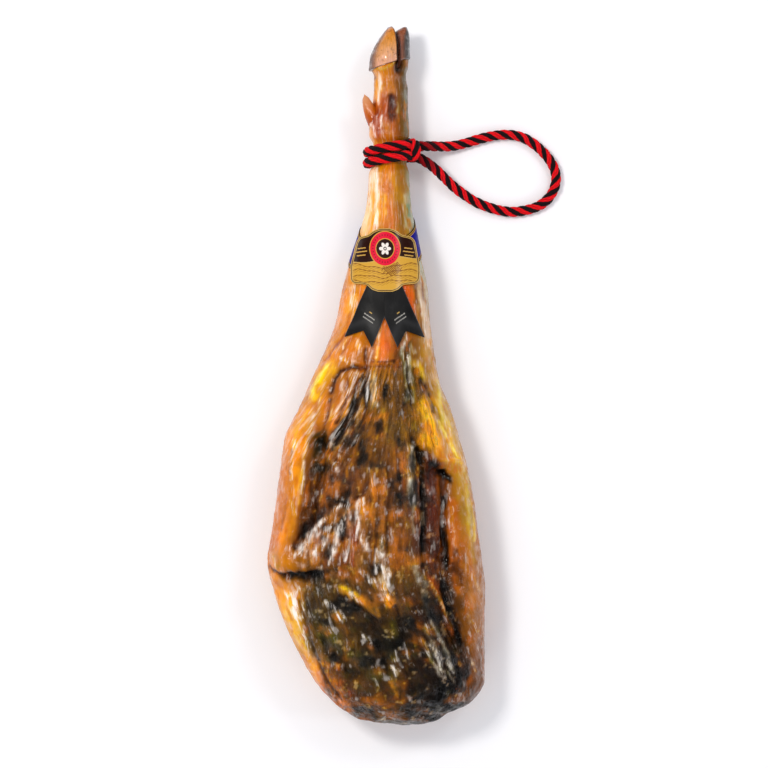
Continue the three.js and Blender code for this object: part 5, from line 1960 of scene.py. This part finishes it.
    def cured(self, tone: np.ndarray, flat: np.ndarray, flow: np.ndarray, meat: np.ndarray,
              strand: np.ndarray) -> np.ndarray:
        """Break the tones up as curing does: darker hollows, ember patches, olive mould, pale flecks.

        Args:
            tone: The tones so far.
            flat: Points in mm.
            flow: The same in flow coordinates.
            meat: The share of open meat.
            strand: Relief of the fibres.

        Returns:
            The tones, richer on the meat than on the skin.
        """
        dark = ramp(lattice_noise(flow, 61, 4, (8, 20, 9)), 0.02, 0.5)
        ember = ramp(lattice_noise(flow, 62, 4, (9, 16, 9)), 0.05, 0.45)
        mould = ramp(lattice_noise(flat / 9.0, 63, 4), 0.1, 0.5) * ramp(flat[:, 1], -150, -290)
        fleck = ramp(lattice_noise(flow, 64, 3, (2.6, 7, 3)), 0.34, 0.5)
        tone = tone * (1 + (0.26 * meat + 0.05) * strand - 0.78 * meat * dark)[:, None]
        for share, code, most in ((ember, self.ember, 0.62), (mould, self.mould, 0.5)):
            cover = (share * meat * most * (1 - 0.6 * dark))[:, None]
            tone = tinted(tone, code, cover)
        cover = (fleck * meat * 0.5 * ramp(flat[:, 1], 20, -120))[:, None]
        tone = tinted(tone, self.fleck, cover)
        vein = ramp(lattice_noise(flat, 68, 4, (6, 12, 6)), 0.08, 0.42)
        cover = (vein * (1 - meat) * 0.42)[:, None]
        tone = tinted(tone, self.vein, cover)
        patch = lattice_noise(flow, 65, 4, (14, 26, 14))[:, None]
        return tone * (1 + 0.16 * patch * (1 - meat)[:, None])

    @staticmethod
    def wetted(wet: np.ndarray, flow: np.ndarray, meat: np.ndarray, tone: np.ndarray) -> np.ndarray:
        """Add small painted highlight flecks to the gleam mask, along the fibres, finer on the meat than on
        the skin.

        Args:
            wet: The gleam so far.
            flow: Points in flow coordinates.
            meat: The share of open meat.
            tone: The tones, because the blackest hollows, which carry painted shade, stay dull.

        Returns:
            The gleam with the flecks.
        """
        skin = ramp(lattice_noise(flow, 66, 3, (3.4, 13, 4)), 0.14, 0.45)
        cut = ramp(lattice_noise(flow, 67, 3, (2.8, 7, 3)), 0.2, 0.45)
        cut = cut * ramp(tone.mean(axis=1), 0.06, 0.22)
        return np.clip(wet + 0.24 * (1 - meat) * skin + 0.26 * meat * cut, 0, 1)

    def build(self, material: bpy.types.Material) -> bpy.types.Object:
        """Make the ham.

        Args:
            material: Its finish.

        Returns:
            The object.
        """
        grid, sine = self.skin()
        tone, lift, meat, wet = self.painted(grid, sine)
        tone = self.underside(grid, sine, tone)
        flat = grid.reshape(-1, 3)
        flow = self.flow(flat)
        fibre = lattice_noise(flow, 21, 3, (2.6, 24, 4))
        cord = lattice_noise(flow, 24, 3, (7.5, 34, 9))
        lump = lattice_noise(flat / 20.0, 22, 4)
        wrinkle = lattice_noise(flat, 23, 3, (9, 5, 9))
        ridge = 1 - 2 * np.abs(cord)
        cut = 0.8 * fibre + 1.7 * ridge + 2.6 * lump
        raised = lift + meat * cut + (1 - meat) * (0.6 * wrinkle + 0.7 * lump)
        free = self.calm(flat[:, 0], flat[:, 1])
        floor = ramp(flat[:, 2], 0.0, 6.0)
        moved = flat + grid_normals(grid, True).reshape(-1, 3) * (raised * free * floor)[:, None]
        moved[:, 2] = np.maximum(moved[:, 2], 0)
        tone = self.cured(tone, flat, flow, meat, fibre + 0.5 * ridge)
        # Painted highlight flecks join the gleam mask.
        wet = self.wetted(wet, flow, meat, tone)
        shape = grid.shape
        skin = Surface()
        skin.grid(moved.reshape(shape), wrap_columns=True, caps=True,
                  paint=tone.reshape(shape), meat=meat.reshape(shape[:2]), wet=wet.reshape(shape[:2]),
                  flow=(flow * MM).reshape(shape))
        for toe in self.toes:
            self.add_toe(skin, np.array(toe, float))
        return place(skin.build("ham_skin"), material, Slot.MEAT, "ham_leg")

    def add_toe(self, skin: Surface, line: np.ndarray) -> None:
        """Add a small toe: rings r(t) round a curved line, ending in a round tip.

        Args:
            skin: The surface to add it to.
            line: Points and radii.
        """
        path = resample(line[:, :3], 0.7)
        t = np.linspace(0, 1, len(path))
        radius = np.interp(t, np.linspace(0, 1, len(line)), line[:, 3])
        radius *= np.sqrt(np.clip(1 - ramp(t, 0.86, 1.0) ** 2, 0.02, 1))
        tangent = unit(np.gradient(path, axis=0))
        side = unit(np.cross(tangent, np.array([0.0, 0.0, 1.0])))
        up = np.cross(side, tangent)
        angle = np.linspace(0, 2 * math.pi, 40, endpoint=False)
        ring = (np.cos(angle)[None, :, None] * side[:, None] + np.sin(angle)[None, :, None] * up[:, None])
        flat = (path[:, None] + ring * 0).reshape(-1, 3)
        bump = 0.35 * lattice_noise(ring.reshape(-1, 3) * 2 + flat / 4.0, 31, 2).reshape(len(path), -1)
        points = path[:, None] + ring * (radius[:, None] + bump)[..., None]
        share = ramp(t, 0.35, 0.9)[:, None, None] * np.ones((1, len(angle), 1))
        skin.grid(points, wrap_columns=True, caps=True,
                  paint=tinted(srgb(self.toe_root), self.toe_tip, share),
                  meat=np.zeros(points.shape[:2]), wet=np.zeros(points.shape[:2]), flow=points * MM)


# ---------------------------------------------------------------- the claws


@dataclass
class Claw:
    """One horn claw: the hoof's loft on one side of a leaning cleft.

    Attributes:
        name: The object's name.
        node: The CAD node it stands for.
        side: 1 for the left claw, -1 for the right.
        rows: Sections, as for a loft.
        tones: Its tones from the coronet to the tip.
        edge: Tone of the painted shade down its far side.
        cleft: Place across, height and lean in degrees of the cleft.
        gap: Half the cleft's width.
        rounding: How softly the section turns into the cleft.
        coronet: Where the horn line crosses the leg, across and along.
        slope: Rise of that line to the right.
        cleft_tone: Tone of the painted shade in the cleft.
    """

    name: str
    node: str
    side: int
    rows: Table
    tones: tuple[str, ...]
    edge: str
    cleft: tuple[float, float, float] = (26.0, 60.0, 24.0)
    gap: float = 1.1
    rounding: float = 2.6
    coronet: tuple[float, float] = (15.0, 358.9)
    slope: float = math.tan(math.radians(17))
    cleft_tone: str = "3A180C"

    def build(self, material: bpy.types.Material) -> bpy.types.Object:
        """Make the claw: section points past the cleft plane are drawn back to it by
        x' = c - (d + sqrt(d^2 + r^2)) / 2, where d is the depth inside the plane.

        Args:
            material: Its finish.

        Returns:
            The object.
        """
        form = Loft(self.rows)
        t = np.linspace(0, 1, 120)[:, None]
        angle = np.linspace(0, 2 * math.pi, 120, endpoint=False)[None, :]
        y = self.coronet[1] + (form.end - self.coronet[1]) * np.sin(t * math.pi / 2)
        x = form.at(y, angle)[..., 0]
        y = y + (1 - ramp(t, 0, 0.9)) * self.slope * (x - self.coronet[0])
        points = form.at(y, angle)
        rim = 0.7 * ramp(t, 0.1, 0.0) - 0.5 * ramp(t, 0.02, 0.0)
        centre = points.mean(axis=1, keepdims=True)
        points = points + unit(points - centre) * np.array([1.0, 0.0, 1.0]) * rim[..., None]
        cleft_x, cleft_z, lean = self.cleft
        plane = cleft_x + (points[..., 2] - cleft_z) * math.tan(math.radians(lean))
        depth = self.side * (plane - points[..., 0]) - self.gap
        inside = (depth + np.sqrt(depth**2 + self.rounding**2)) / 2
        points[..., 0] = plane - self.side * (self.gap + inside)
        flat = points.reshape(-1, 3)
        rough = lattice_noise(flat, 41 + self.side, 3, (3, 6, 3)).reshape(points.shape[:2])
        points = points + grid_normals(points, True) * (0.3 * rough * ramp(t, 1.0, 0.9))[..., None]
        stops = np.linspace(0, 1, len(self.tones))
        codes = np.array([srgb(code) for code in self.tones])
        where = np.clip(t + 0.12 * rough, 0, 1)
        tone = np.stack([np.interp(where, stops, codes[:, k]) for k in range(3)], axis=-1)
        # Painted shade: the far side darkens towards its edge.
        outer = ramp(self.side * (centre[..., 0] - points[..., 0]) / form.reach(y), 0.55, 1.0)[..., None]
        tone = tinted(tone, self.edge, outer)
        # Painted shade in the cleft, where the section is drawn back to it.
        inner = ramp(inside, 3.0, 0.6)[..., None] * 0.75
        tone = tinted(tone, self.cleft_tone, inner)
        claw = Surface()
        claw.grid(points, wrap_columns=True, caps=True, paint=tone)
        return place(claw.build(self.name), material, Slot.HORN, self.node)


# ---------------------------------------------------------------- the rope


@dataclass
class Cord:
    """Four strands twisted to the right, two dyed and two black, along a path.

    Attributes:
        name: The object's name.
        node: The CAD node it stands for.
        reference: A direction never along the path, which frames it.
        pitch: Length of one full twist in mm.
        phase: Where the twist starts, in turns.
        helix: Distance of a strand's middle from the path.
        strand: Radius of a strand.
        dyed: Tone of two of the strands.
        dark: Tone of the other two.
        worn: How far from each end, and how strongly, the rope is stained.
        worn_tone: Tone of that stain.
    """

    name: str
    node: str
    reference: tuple[float, float, float]
    pitch: float = 35.0
    phase: float = 0.0
    helix: float = 3.45
    strand: float = 2.62
    dyed: str = "E8101A"
    dark: str = "1C1214"
    worn: tuple[float, float] = (0.0, 0.0)
    worn_tone: str = "3A0C10"

    def build(self, path: np.ndarray, material: bpy.types.Material) -> bpy.types.Object:
        """Make the strands: each is a tube whose middle turns round the path at the helix radius.

        Args:
            path: The rope's middle line in mm, evenly spaced.
            material: Its finish.

        Returns:
            The object.
        """
        tangent = unit(np.gradient(path, axis=0))
        side = unit(np.cross(tangent, np.array(self.reference, float)))
        up = np.cross(side, tangent)
        along = np.concatenate([[0], np.cumsum(np.linalg.norm(np.diff(path, axis=0), axis=1))])
        angle = np.linspace(0, 2 * math.pi, 18, endpoint=False)
        loose = lattice_noise(path / 14.0, 51, 2)
        swell = lattice_noise(path / 9.0, 57, 2)[:, None]
        rope = Surface()
        for k in range(4):
            turn = 2 * math.pi * (self.phase + k / 4) - 2 * math.pi * along / self.pitch
            turn = turn + 0.4 * loose
            out = np.cos(turn)[:, None] * side + np.sin(turn)[:, None] * up
            middle = path + self.helix * out
            heading = unit(np.gradient(middle, axis=0))
            across = unit(np.cross(heading, out))
            ring = (np.cos(angle)[None, :, None] * out[:, None] * 0.96
                    + np.sin(angle)[None, :, None] * across[:, None] * 1.06)
            lay = np.stack(np.broadcast_arrays(along[:, None], angle[None, :] / (2 * math.pi), 0.0), axis=-1)
            yarn = 0.12 * np.sin(1.3 * lay[..., 0] + 2 * math.pi * 5 * lay[..., 1])
            hair = 0.16 * lattice_noise((middle[:, None] + 2 * ring).reshape(-1, 3) / 1.1, 52 + k, 2)
            radius = self.strand + yarn + hair.reshape(yarn.shape) + 0.3 * (-1) ** k * swell
            tone = np.broadcast_to(srgb(self.dyed if k % 2 == 0 else self.dark), (*yarn.shape, 3))
            start, share = self.worn
            near_end = np.minimum(along, along[-1] - along)
            fade = share * ramp(near_end, start + 12, start)[:, None, None]
            tone = tinted(tone, self.worn_tone, fade)
            rope.grid(middle[:, None] + ring * radius[..., None], wrap_columns=True, caps=True,
                      paint=tone, lay=lay)
        return place(rope.build(self.name), material, Slot.ROPE, self.node)


@dataclass
class Hitch:
    """The rope hitched round the shank: two turns, the bight over their ends and the free loop.

    Attributes:
        radius: The rope's radius in mm.
        gap: Clearance to what it lies on.
        turn_middle: Where the two turns sit along the shank.
        tilt: How much further up the shank a turn runs at its right side.
        sweep: Where the turns start and end round the shank, in degrees.
        lead: How far from a turn's end the first two points of the loop lie.
        bight: Middle line of the bight.
        loop: Middle line of the free loop.
    """

    radius: float = 6.0
    gap: float = 0.35
    turn_middle: float = 255.6
    tilt: float = 4.3
    sweep: tuple[float, float] = (-50.0, -340.0)
    lead: tuple[float, float] = (0.8, 6.0)
    bight: Table = ((-2.4, -8.4, -6.5), (2.0, -7.4, -0.5), (4.4, -4.4, 3.4), (5.0, 0, 4.6),
                    (4.4, 4.4, 3.4), (2.0, 7.4, -0.5), (-2.4, 8.4, -6.5))
    loop: Table = (
        (47.5, 265.8, 27.8), (55.5, 266.2, 27.6), (65, 266.4, 24.2), (77, 266.6, 18.4),
        (90, 267.8, 12.2), (104.5, 271.4, 8.0), (117.5, 275.4, 6.6), (131, 279, 6.4),
        (145, 281.2, 6.4), (158.6, 281.2, 6.4), (171, 278.4, 6.4), (183, 271.8, 6.4),
        (194.4, 262.2, 6.4), (203.6, 251.2, 6.4), (209.2, 239.8, 6.4), (210.6, 227.8, 6.4),
        (207.4, 215.8, 6.4), (200.2, 205.4, 6.4), (189.6, 197.8, 6.4), (175.6, 193.2, 6.4),
        (159, 191.2, 6.4), (143.5, 193.2, 6.4), (130, 197.2, 6.4), (117, 202.6, 6.6),
        (103, 211.2, 7.8), (90, 220.9, 11.0), (78.5, 231.4, 16.6), (68.2, 240.8, 22.2),
        (57.5, 248.2, 26.4), (48.6, 252.6, 27.6),
    )

    def turn_point(self, place_along: int, degrees: np.ndarray | float) -> np.ndarray:
        """Middle of a turn's rope at an angle round the shank.

        Args:
            place_along: 1 for the upper turn, -1 for the lower.
            degrees: The angle.

        Returns:
            Points in mm.
        """
        angle = np.radians(degrees)
        middle = self.turn_middle + place_along * (self.radius + self.gap) + self.tilt * np.cos(angle)
        return LEG.lifted(middle, angle, self.radius + self.gap)

    def lead_from(self, place_along: int) -> np.ndarray:
        """Two points of the loop where it leaves a turn, in line with it.

        Args:
            place_along: 1 for the upper turn, -1 for the lower.

        Returns:
            Two points in mm.
        """
        end, before = (self.turn_point(place_along, self.sweep[0] - back) for back in (0.0, 4.0))
        heading = unit(end - before)
        return np.stack([end + heading * distance for distance in self.lead])

    def turn_path(self, place_along: int) -> np.ndarray:
        """Middle line of one turn.

        Args:
            place_along: 1 for the upper turn, -1 for the lower.

        Returns:
            Evenly spaced points in mm.
        """
        return resample(self.turn_point(place_along, np.linspace(*self.sweep, 60)), 0.9)

    def build(self, material: bpy.types.Material) -> None:
        """Make the rope with its free loop.

        Args:
            material: Its finish.
        """
        around = (0.0, 1.0, 0.0)
        Cord("rope_upper_turn", "rope_turn_upper", around, pitch=44, phase=0.1).build(
            self.turn_path(1), material)
        Cord("rope_lower_turn", "rope_turn_lower", around, pitch=44, phase=0.37).build(
            self.turn_path(-1), material)
        knot = (self.turn_point(1, self.sweep[1]) + self.turn_point(-1, self.sweep[1])) / 2
        knot = knot + np.array([1.0, 0.0, 1.0])
        Cord("rope_bight_turn", "rope_bight", (1.0, 0.0, 0.0), pitch=40, phase=0.2).build(
            resample(knot + np.array(self.bight, float), 0.9), material)
        free_line = np.concatenate([self.lead_from(1), np.array(self.loop, float), self.lead_from(-1)[::-1]])
        path = resample(free_line, 1.1)
        free = Cord("rope_free_loop", "rope_loop", (0.0, 0.0, 1.0), phase=0.05, worn=(34.0, 0.45)).build(
            path, material)


# ---------------------------------------------------------------- the label


@dataclass
class Sash:
    """The paper band round the shank, whose front dips behind the card.

    Attributes:
        half_width: Half its width in mm.
        middle: Where it sits along the shank.
        tilt: How much further up its right side sits.
        dip: How far its front hangs towards the rump.
        lift: Where its inner and outer faces lie over the skin.
        ground: Tone of the paper.
        border: Tone of its edges.
        gilt: Tone of the lines along them.
    """

    half_width: float = 19.0
    middle: float = 154.0
    tilt: float = 5.0
    dip: float = 20.0
    lift: tuple[float, float] = (0.35, 1.15)
    ground: str = "060882"
    border: str = "2A140C"
    gilt: str = "C89838"

    def build(self, material: bpy.types.Material) -> bpy.types.Object:
        """Make the band: rows run round the leg, columns across the paper.

        Args:
            material: Its finish.

        Returns:
            The object.
        """
        angle = np.linspace(0, 2 * math.pi, 300, endpoint=False)[:, None]
        edge = np.linspace(-1, 1, 90)[None, :]
        y = self.middle + self.tilt * np.cos(angle) - self.dip * np.sin(angle) + edge * self.half_width
        angle = np.broadcast_to(angle, y.shape)
        outer, inner = (LEG.lifted(y, angle, lift) for lift in (self.lift[1], self.lift[0]))
        away = (1 - np.abs(edge)) * self.half_width
        tone = np.broadcast_to(srgb(self.ground), (*y.shape, 3)).copy()
        border = np.broadcast_to(away < 3.4, y.shape)
        gilt = np.broadcast_to(((away > 1.1) & (away < 1.9)) | ((away > 3.4) & (away < 4.1)), y.shape)
        tone[border] = srgb(self.border)
        tone[gilt] = srgb(self.gilt)
        sash = Surface()
        sash.sheet(outer, inner, closed=True, paint=tone)
        return place(sash.build("sash"), material, Slot.SASH, "label_band")


# Along Y, then the left and right edges of the card.
CARD_ROWS: Table = (
    (94, 2.8, 18.3), (96.5, -3.7, 24.3), (102, -10.2, 30.8), (104, -23.7, 43.3), (109, -26.8, 47.3),
    (120, -26.8, 47.8), (140.5, -22.8, 44.8), (152, -19.8, 42.6), (157.5, -15.7, 38.3),
    (159.5, -8.2, 29.4), (164.5, -1.2, 22.3), (167, 4.8, 16.3),
)


@dataclass
class Card:
    """The shaped card: a dark upper field, a gold lower field with hills, and a ringed rosette.

    The rosette, rules and dots are plain ornaments that stand where a maker's print would be.

    Attributes:
        lift: Where its inner and outer faces lie over the skin.
        centre: Middle of the medallion, in plan.
        outer: Half axes of its ring.
        inner: Half axes of its dark disc.
        dark: Tone of the upper field and the disc.
        gold: Tone of the lower field.
        pale: Tone of the border.
        crimson: Tone of the ring.
        etch: Tone of the hill lines.
        hatching: Tone of the hatching under them.
        rule: Tone of the rules.
        dot: Tone of the ring of dots.
        petal: Tone of the rosette.
    """

    lift: tuple[float, float] = (2.45, 3.25)
    centre: tuple[float, float] = (10.5, 143.5)
    outer: tuple[float, float] = (16.1, 19.6)
    inner: tuple[float, float] = (9.2, 10.9)
    dark: str = "2A100A"
    gold: str = "CC9A34"
    pale: str = "C8A050"
    crimson: str = "D80A32"
    etch: str = "7A4A18"
    hatching: str = "A87828"
    rule: str = "C89A48"
    dot: str = "8A0A24"
    petal: str = "E8E0D8"

    def print_on(self, x: np.ndarray, y: np.ndarray, edge: np.ndarray) -> np.ndarray:
        """The print as a function of place.

        Args:
            x: Places across, in mm.
            y: Places along, in mm.
            edge: Distance to the card's edge, in mm.

        Returns:
            Tones of the same shape, by 3.
        """
        tone = np.empty((*x.shape, 3))
        tone[:] = srgb(self.dark)
        dx, dy = x - self.centre[0], y - self.centre[1]
        sky = 132.0 + 0.09 * dx + 2.2 * np.sin(dx / 9.0 + 0.6)
        tone[y < sky] = srgb(self.gold)
        hills = ((124.5, 2.6, 11.0), (118.0, 2.2, 8.0), (112.0, 1.6, 6.5), (106.5, 1.2, 9.0))
        for level, height, wave in hills:
            ridge = level + height * np.sin(dx / wave + level) + 0.8 * np.sin(dx / 3.1 + level)
            under = (y < ridge) & (y < sky)
            tone[under & (y > ridge - 1.0)] = srgb(self.etch)
            hatch = np.sin((dx * 0.8 + (ridge - y) * 1.9) * 1.6) > 0.55
            tone[under & (y > ridge - 4.2) & hatch] = srgb(self.hatching)
        tone[(y < sky) & (y > sky - 1.1)] = srgb(self.pale)
        grove = ((dx - 7) / 10) ** 2 + ((y - 121) / 8) ** 2 + 0.4 * np.sin(dx * 1.3) * np.sin(y * 1.1) < 1
        tone[grove & (y < sky) & (np.sin((dx + y) * 2.6) > -0.3)] = srgb(self.etch)
        for side in (-1, 1):
            for k, (length, low) in enumerate(((9.5, 0.0), (12.0, 4.2), (8.5, 8.2))):
                middle = self.centre[0] + side * (25.5 - 0.3 * k)
                place_y = 138.5 + low - 0.1 * np.abs(dx)
                rule = (np.abs(x - middle) < length / 2) & (np.abs(y - place_y) < 0.62)
                tone[rule & (y > sky)] = srgb(self.rule)
        inside = (dx / self.outer[0]) ** 2 + (dy / self.outer[1]) ** 2
        core = (dx / self.inner[0]) ** 2 + (dy / self.inner[1]) ** 2
        tone[inside < 1.1] = srgb(self.gold)
        tone[inside < 1.0] = srgb(self.crimson)
        turn = np.arctan2(dy / self.outer[1], dx / self.outer[0])
        dots = (np.cos(turn * 28) > 0.35) & (np.abs(inside - 0.66) < 0.07)
        tone[dots] = srgb(self.dot)
        tone[core < 1.22] = srgb(self.gold)
        tone[core < 1.05] = srgb(self.dark)
        radius = np.sqrt(core)
        petals = radius < 0.34 + 0.36 * np.abs(np.cos(turn * 3))
        tone[petals] = srgb(self.petal)
        tone[radius < 0.2] = srgb(self.dark)
        tone[radius < 0.1] = srgb(self.petal)
        free = inside > 1.1
        tone[free & (edge < 2.3)] = srgb(self.pale)
        tone[free & (edge > 0.9) & (edge < 1.6)] = srgb(self.dark)
        return tone

    def build(self, material: bpy.types.Material) -> bpy.types.Object:
        """Make the card, bent over the top of the shank.

        Args:
            material: Its finish.

        Returns:
            The object.
        """
        left, right = monotone(CARD_ROWS, 1), monotone(CARD_ROWS, 2)
        y = np.linspace(CARD_ROWS[0][0], CARD_ROWS[-1][0], 230)[:, None]
        share = np.linspace(0, 1, 230)[None, :]
        x = left(y) + (right(y) - left(y)) * share
        y = np.broadcast_to(y, x.shape)
        angle = LEG.angle_at(y, x)
        outer, inner = (LEG.lifted(y, angle, lift) for lift in (self.lift[1], self.lift[0]))
        rim = np.linspace(CARD_ROWS[0][0], CARD_ROWS[-1][0], 60)
        outline = np.concatenate([np.stack([left(rim), rim], 1), np.stack([right(rim), rim], 1)[::-1]])
        outline = np.concatenate([outline, outline[:1]])
        edge = distance_to(tuple(map(tuple, outline)), x, y)
        card = Surface()
        card.sheet(outer, inner, paint=self.print_on(x, y, edge))
        return place(card.build("card"), material, Slot.CARD, "label_card")


@dataclass
class Ribbon:
    """A satin strip folded to a point under the card, with two swallow-tails.

    Attributes:
        lift: Where its inner and outer faces lie over the skin.
        width: The strip's width in mm.
        length: From the fold to a tail's end.
        notch: Depth of the swallow-tail notch.
        fold: Where the fold's middle lies, across and along.
        spread: Angle of a tail to the leg's axis, in degrees.
        wave: Height of the satin's soft waves.
        satin: Tone of the cloth.
        selvage: Tone of its edges.
        rule: Tone of the rules across a tail.
        bar: Tone of the short bar over them.
        sheen: Tone of the light across a tail.
    """

    lift: tuple[float, float] = (1.5, 2.1)
    width: float = 32.0
    length: float = 76.5
    notch: float = 14.6
    fold: tuple[float, float] = (9.7, 107.0)
    spread: float = 22.3
    wave: float = 0.9
    satin: str = "141415"
    selvage: str = "3A3A3C"
    rule: str = "A8A49C"
    bar: str = "C8A04C"
    sheen: str = "5A5A5C"

    def build(self, material: bpy.types.Material) -> bpy.types.Object:
        """Make the ribbon: rows run along the strip from one tail's end to the other's.

        Args:
            material: Its finish.

        Returns:
            The object.
        """
        spread, half = math.radians(self.spread), self.width / 2
        row = np.linspace(-1, 1, 241)[:, None]
        share = np.linspace(-1, 1, 81)[None, :]
        reach = self.length - self.notch * (1 - np.abs(share))
        down = share * half / math.tan(spread) + reach
        run = np.abs(row) * down
        x = self.fold[0] + np.sign(row) * run * math.sin(spread)
        y = self.fold[1] + share * half / math.sin(spread) - run * math.cos(spread)
        angle = LEG.angle_at(y, x)
        soft = self.wave * ramp(y, 100, 80) * (0.5 + 0.5 * np.sin(y / 7.5 + 0.12 * x + 1.2 * np.sign(row)))
        overlap = 0.7 * ramp(np.abs(x - self.fold[0]), 8, 0) * (row > 0)
        outer, inner = (LEG.lifted(y, angle, lift + soft + overlap) for lift in (self.lift[1], self.lift[0]))
        tone = np.empty((*x.shape, 3))
        tone[:] = srgb(self.satin)
        from_end = down - run
        seam = (1 - np.abs(share)) * half
        tone[np.broadcast_to(seam < 0.7, x.shape)] = srgb(self.selvage)
        level = self.length - run + share * half * 0.9 / math.tan(spread)
        middle = (level > 27.5) & (level < 28.5) | (level > 31.5) & (level < 32.5)
        tone[middle & (np.abs(share + 0.02) < 0.42)] = srgb(self.rule)
        tone[(np.abs(level - 36.5) < 0.6) & (np.abs(share) < 0.1)] = srgb(self.bar)
        # Painted sheen: a pale band across each tail, about 13 mm from its end.
        light = 0.25 * np.exp(-(((from_end - 13) / 6) ** 2))[..., None]
        tone = tinted(tone, self.sheen, light)
        ribbon = Surface()
        ribbon.sheet(outer, inner, paint=tone)
        made = place(ribbon.build("satin_ribbon"), material, Slot.SATIN, "ribbon")
        return made


# ---------------------------------------------------------------- the studio


# Name, place, target, width and height, watts and colour of each lamp.
LAMPS: tuple[tuple, ...] = (
    ("key", (-0.8, 0.55, 1.9), (0, -0.05, 0.05), (0.4, 0.4), 20.0, "FFFAF4"),
    ("top", (1.3, 1.3, 2.4), (0, 0, 0), (0.5, 0.5), 8.0, "FFFFFF"),
    ("side", (1.6, -0.4, 1.1), (0, -0.1, 0.05), (0.2, 0.7), 3.5, "F2F6FF"),
    ("low", (-0.6, -1.8, 1.4), (0, -0.2, 0.05), (0.6, 0.3), 3.5, "FFFFFF"),
)


@dataclass(frozen=True)
class Studio:
    """Floor, lights and camera.

    Attributes:
        aim: Where the camera looks, in metres.
        height: The camera's height.
        lens: Its focal length in mm.
        world: Brightness of the pale surroundings, which no gloss mirrors.
        floor_half: Half of the floor's side, in mm.
        floor_gap: How far the floor lies under the ham, in mm.
        sky: Tone of the surroundings.
    """

    aim: tuple[float, float] = (0.0092, -0.01035)
    height: float = 3.004
    lens: float = 120.0
    world: float = 0.72
    floor_half: float = 4000.0
    floor_gap: float = 0.5
    sky: str = "F7F8FC"

    def camera(self) -> None:
        """Make the camera, straight above the cut side with the hoof up."""
        data = bpy.data.cameras.new("camera")
        data.lens, data.sensor_width = self.lens, 36.0
        data.clip_start, data.clip_end = 0.05, 50.0
        camera = bpy.data.objects.new("camera", data)
        camera.location = (*self.aim, self.height)
        bpy.context.scene.collection.objects.link(camera)
        bpy.context.scene.camera = camera

    @staticmethod
    def lamp(name: str, where: tuple, target: tuple, size: tuple[float, float], power: float,
             tone: str) -> None:
        """Make an area light.

        Args:
            name: Its name.
            where: Its place.
            target: What it points at.
            size: Its width and height.
            power: Its power in watts.
            tone: Its colour.
        """
        data = bpy.data.lights.new(name, "AREA")
        data.shape, data.size, data.size_y = "RECTANGLE", *size
        data.energy, data.color = power, rgba(tone)[:3]
        light = bpy.data.objects.new(name, data)
        light.location = where
        light.rotation_mode = "QUATERNION"
        light.rotation_quaternion = (Vector(target) - Vector(where)).to_track_quat("-Z", "Y")
        bpy.context.scene.collection.objects.link(light)

    def build(self, floor: bpy.types.Material) -> None:
        """Make the floor, the lights and the surroundings.

        Args:
            floor: The floor's finish.
        """
        ground = Surface()
        side = np.array([-self.floor_half, self.floor_half])
        x, y = np.meshgrid(side, side)
        ground.grid(np.stack([x, y, np.full(x.shape, -self.floor_gap)], axis=-1))
        made = ground.build("floor")
        made.data.materials.append(floor)
        for lamp in LAMPS:
            self.lamp(*lamp)
        world = bpy.data.worlds.new("surroundings")
        bpy.context.scene.world = world
        world.use_nodes = True
        sky = world.node_tree.nodes["Background"]
        sky.inputs[0].default_value = rgba(self.sky)
        sky.inputs[1].default_value = self.world
        world.cycles_visibility.glossy = False
        bpy.context.scene.view_settings.view_transform = "Standard"


# The sections at the coronet, which both claws share.
HORN_ROWS: Table = (
    (338, -7.5, 38, 20, 61, 41), (350, -8, 38.5, 20, 62, 41), (364.5, -7.5, 39, 19, 62.5, 41),
)
LEFT_CLAW = Claw(
    "horn_left", "claw_left", 1,
    (*HORN_ROWS, (376, -3.5, 38.6, 20, 62, 41), (388, 3, 36, 23, 59, 41), (395, 8, 33, 26, 56, 41),
     (399.5, 12, 28, 29, 53, 41), (402.8, 17, 23, 35, 47, 41)),
    ("E8A888", "E8A060", "E08C24", "DC8018", "A86828"), "5A3018")
RIGHT_CLAW = Claw(
    "horn_right", "claw_right", -1,
    (*HORN_ROWS, (376, -3.5, 38.9, 20, 62, 41), (386, 4, 38.9, 23, 59, 41), (393, 13, 38.4, 27, 54, 41),
     (398, 23, 37.2, 31, 51, 42), (402, 30.5, 35.6, 36, 47, 42)),
    ("A86848", "98563C", "A05A38", "8C4A2C", "6A3418"), "101008")


def main() -> None:
    """Build the scene in order."""
    logging.basicConfig(level=logging.INFO, format="%(name)s: %(message)s")
    studio = Studio()
    studio.camera()
    shared = Effects()
    cord = RopeFinish().build(shared)
    Hitch().build(cord)
    HamBody().build(MeatFinish().build(shared))
    horn = HornFinish().build(shared)
    LEFT_CLAW.build(horn)
    RIGHT_CLAW.build(horn)
    Sash().build(PaperFinish(name="SashPaper", specular=0.04, scuff="2A30B0", varnish=0.03).build(shared))
    Card().build(PaperFinish(name="CardPrint", specular=0.15).build(shared))
    Ribbon().build(SatinFinish().build(shared))
    studio.build(FloorFinish().build(shared))


if __name__ == "__main__":
    main()
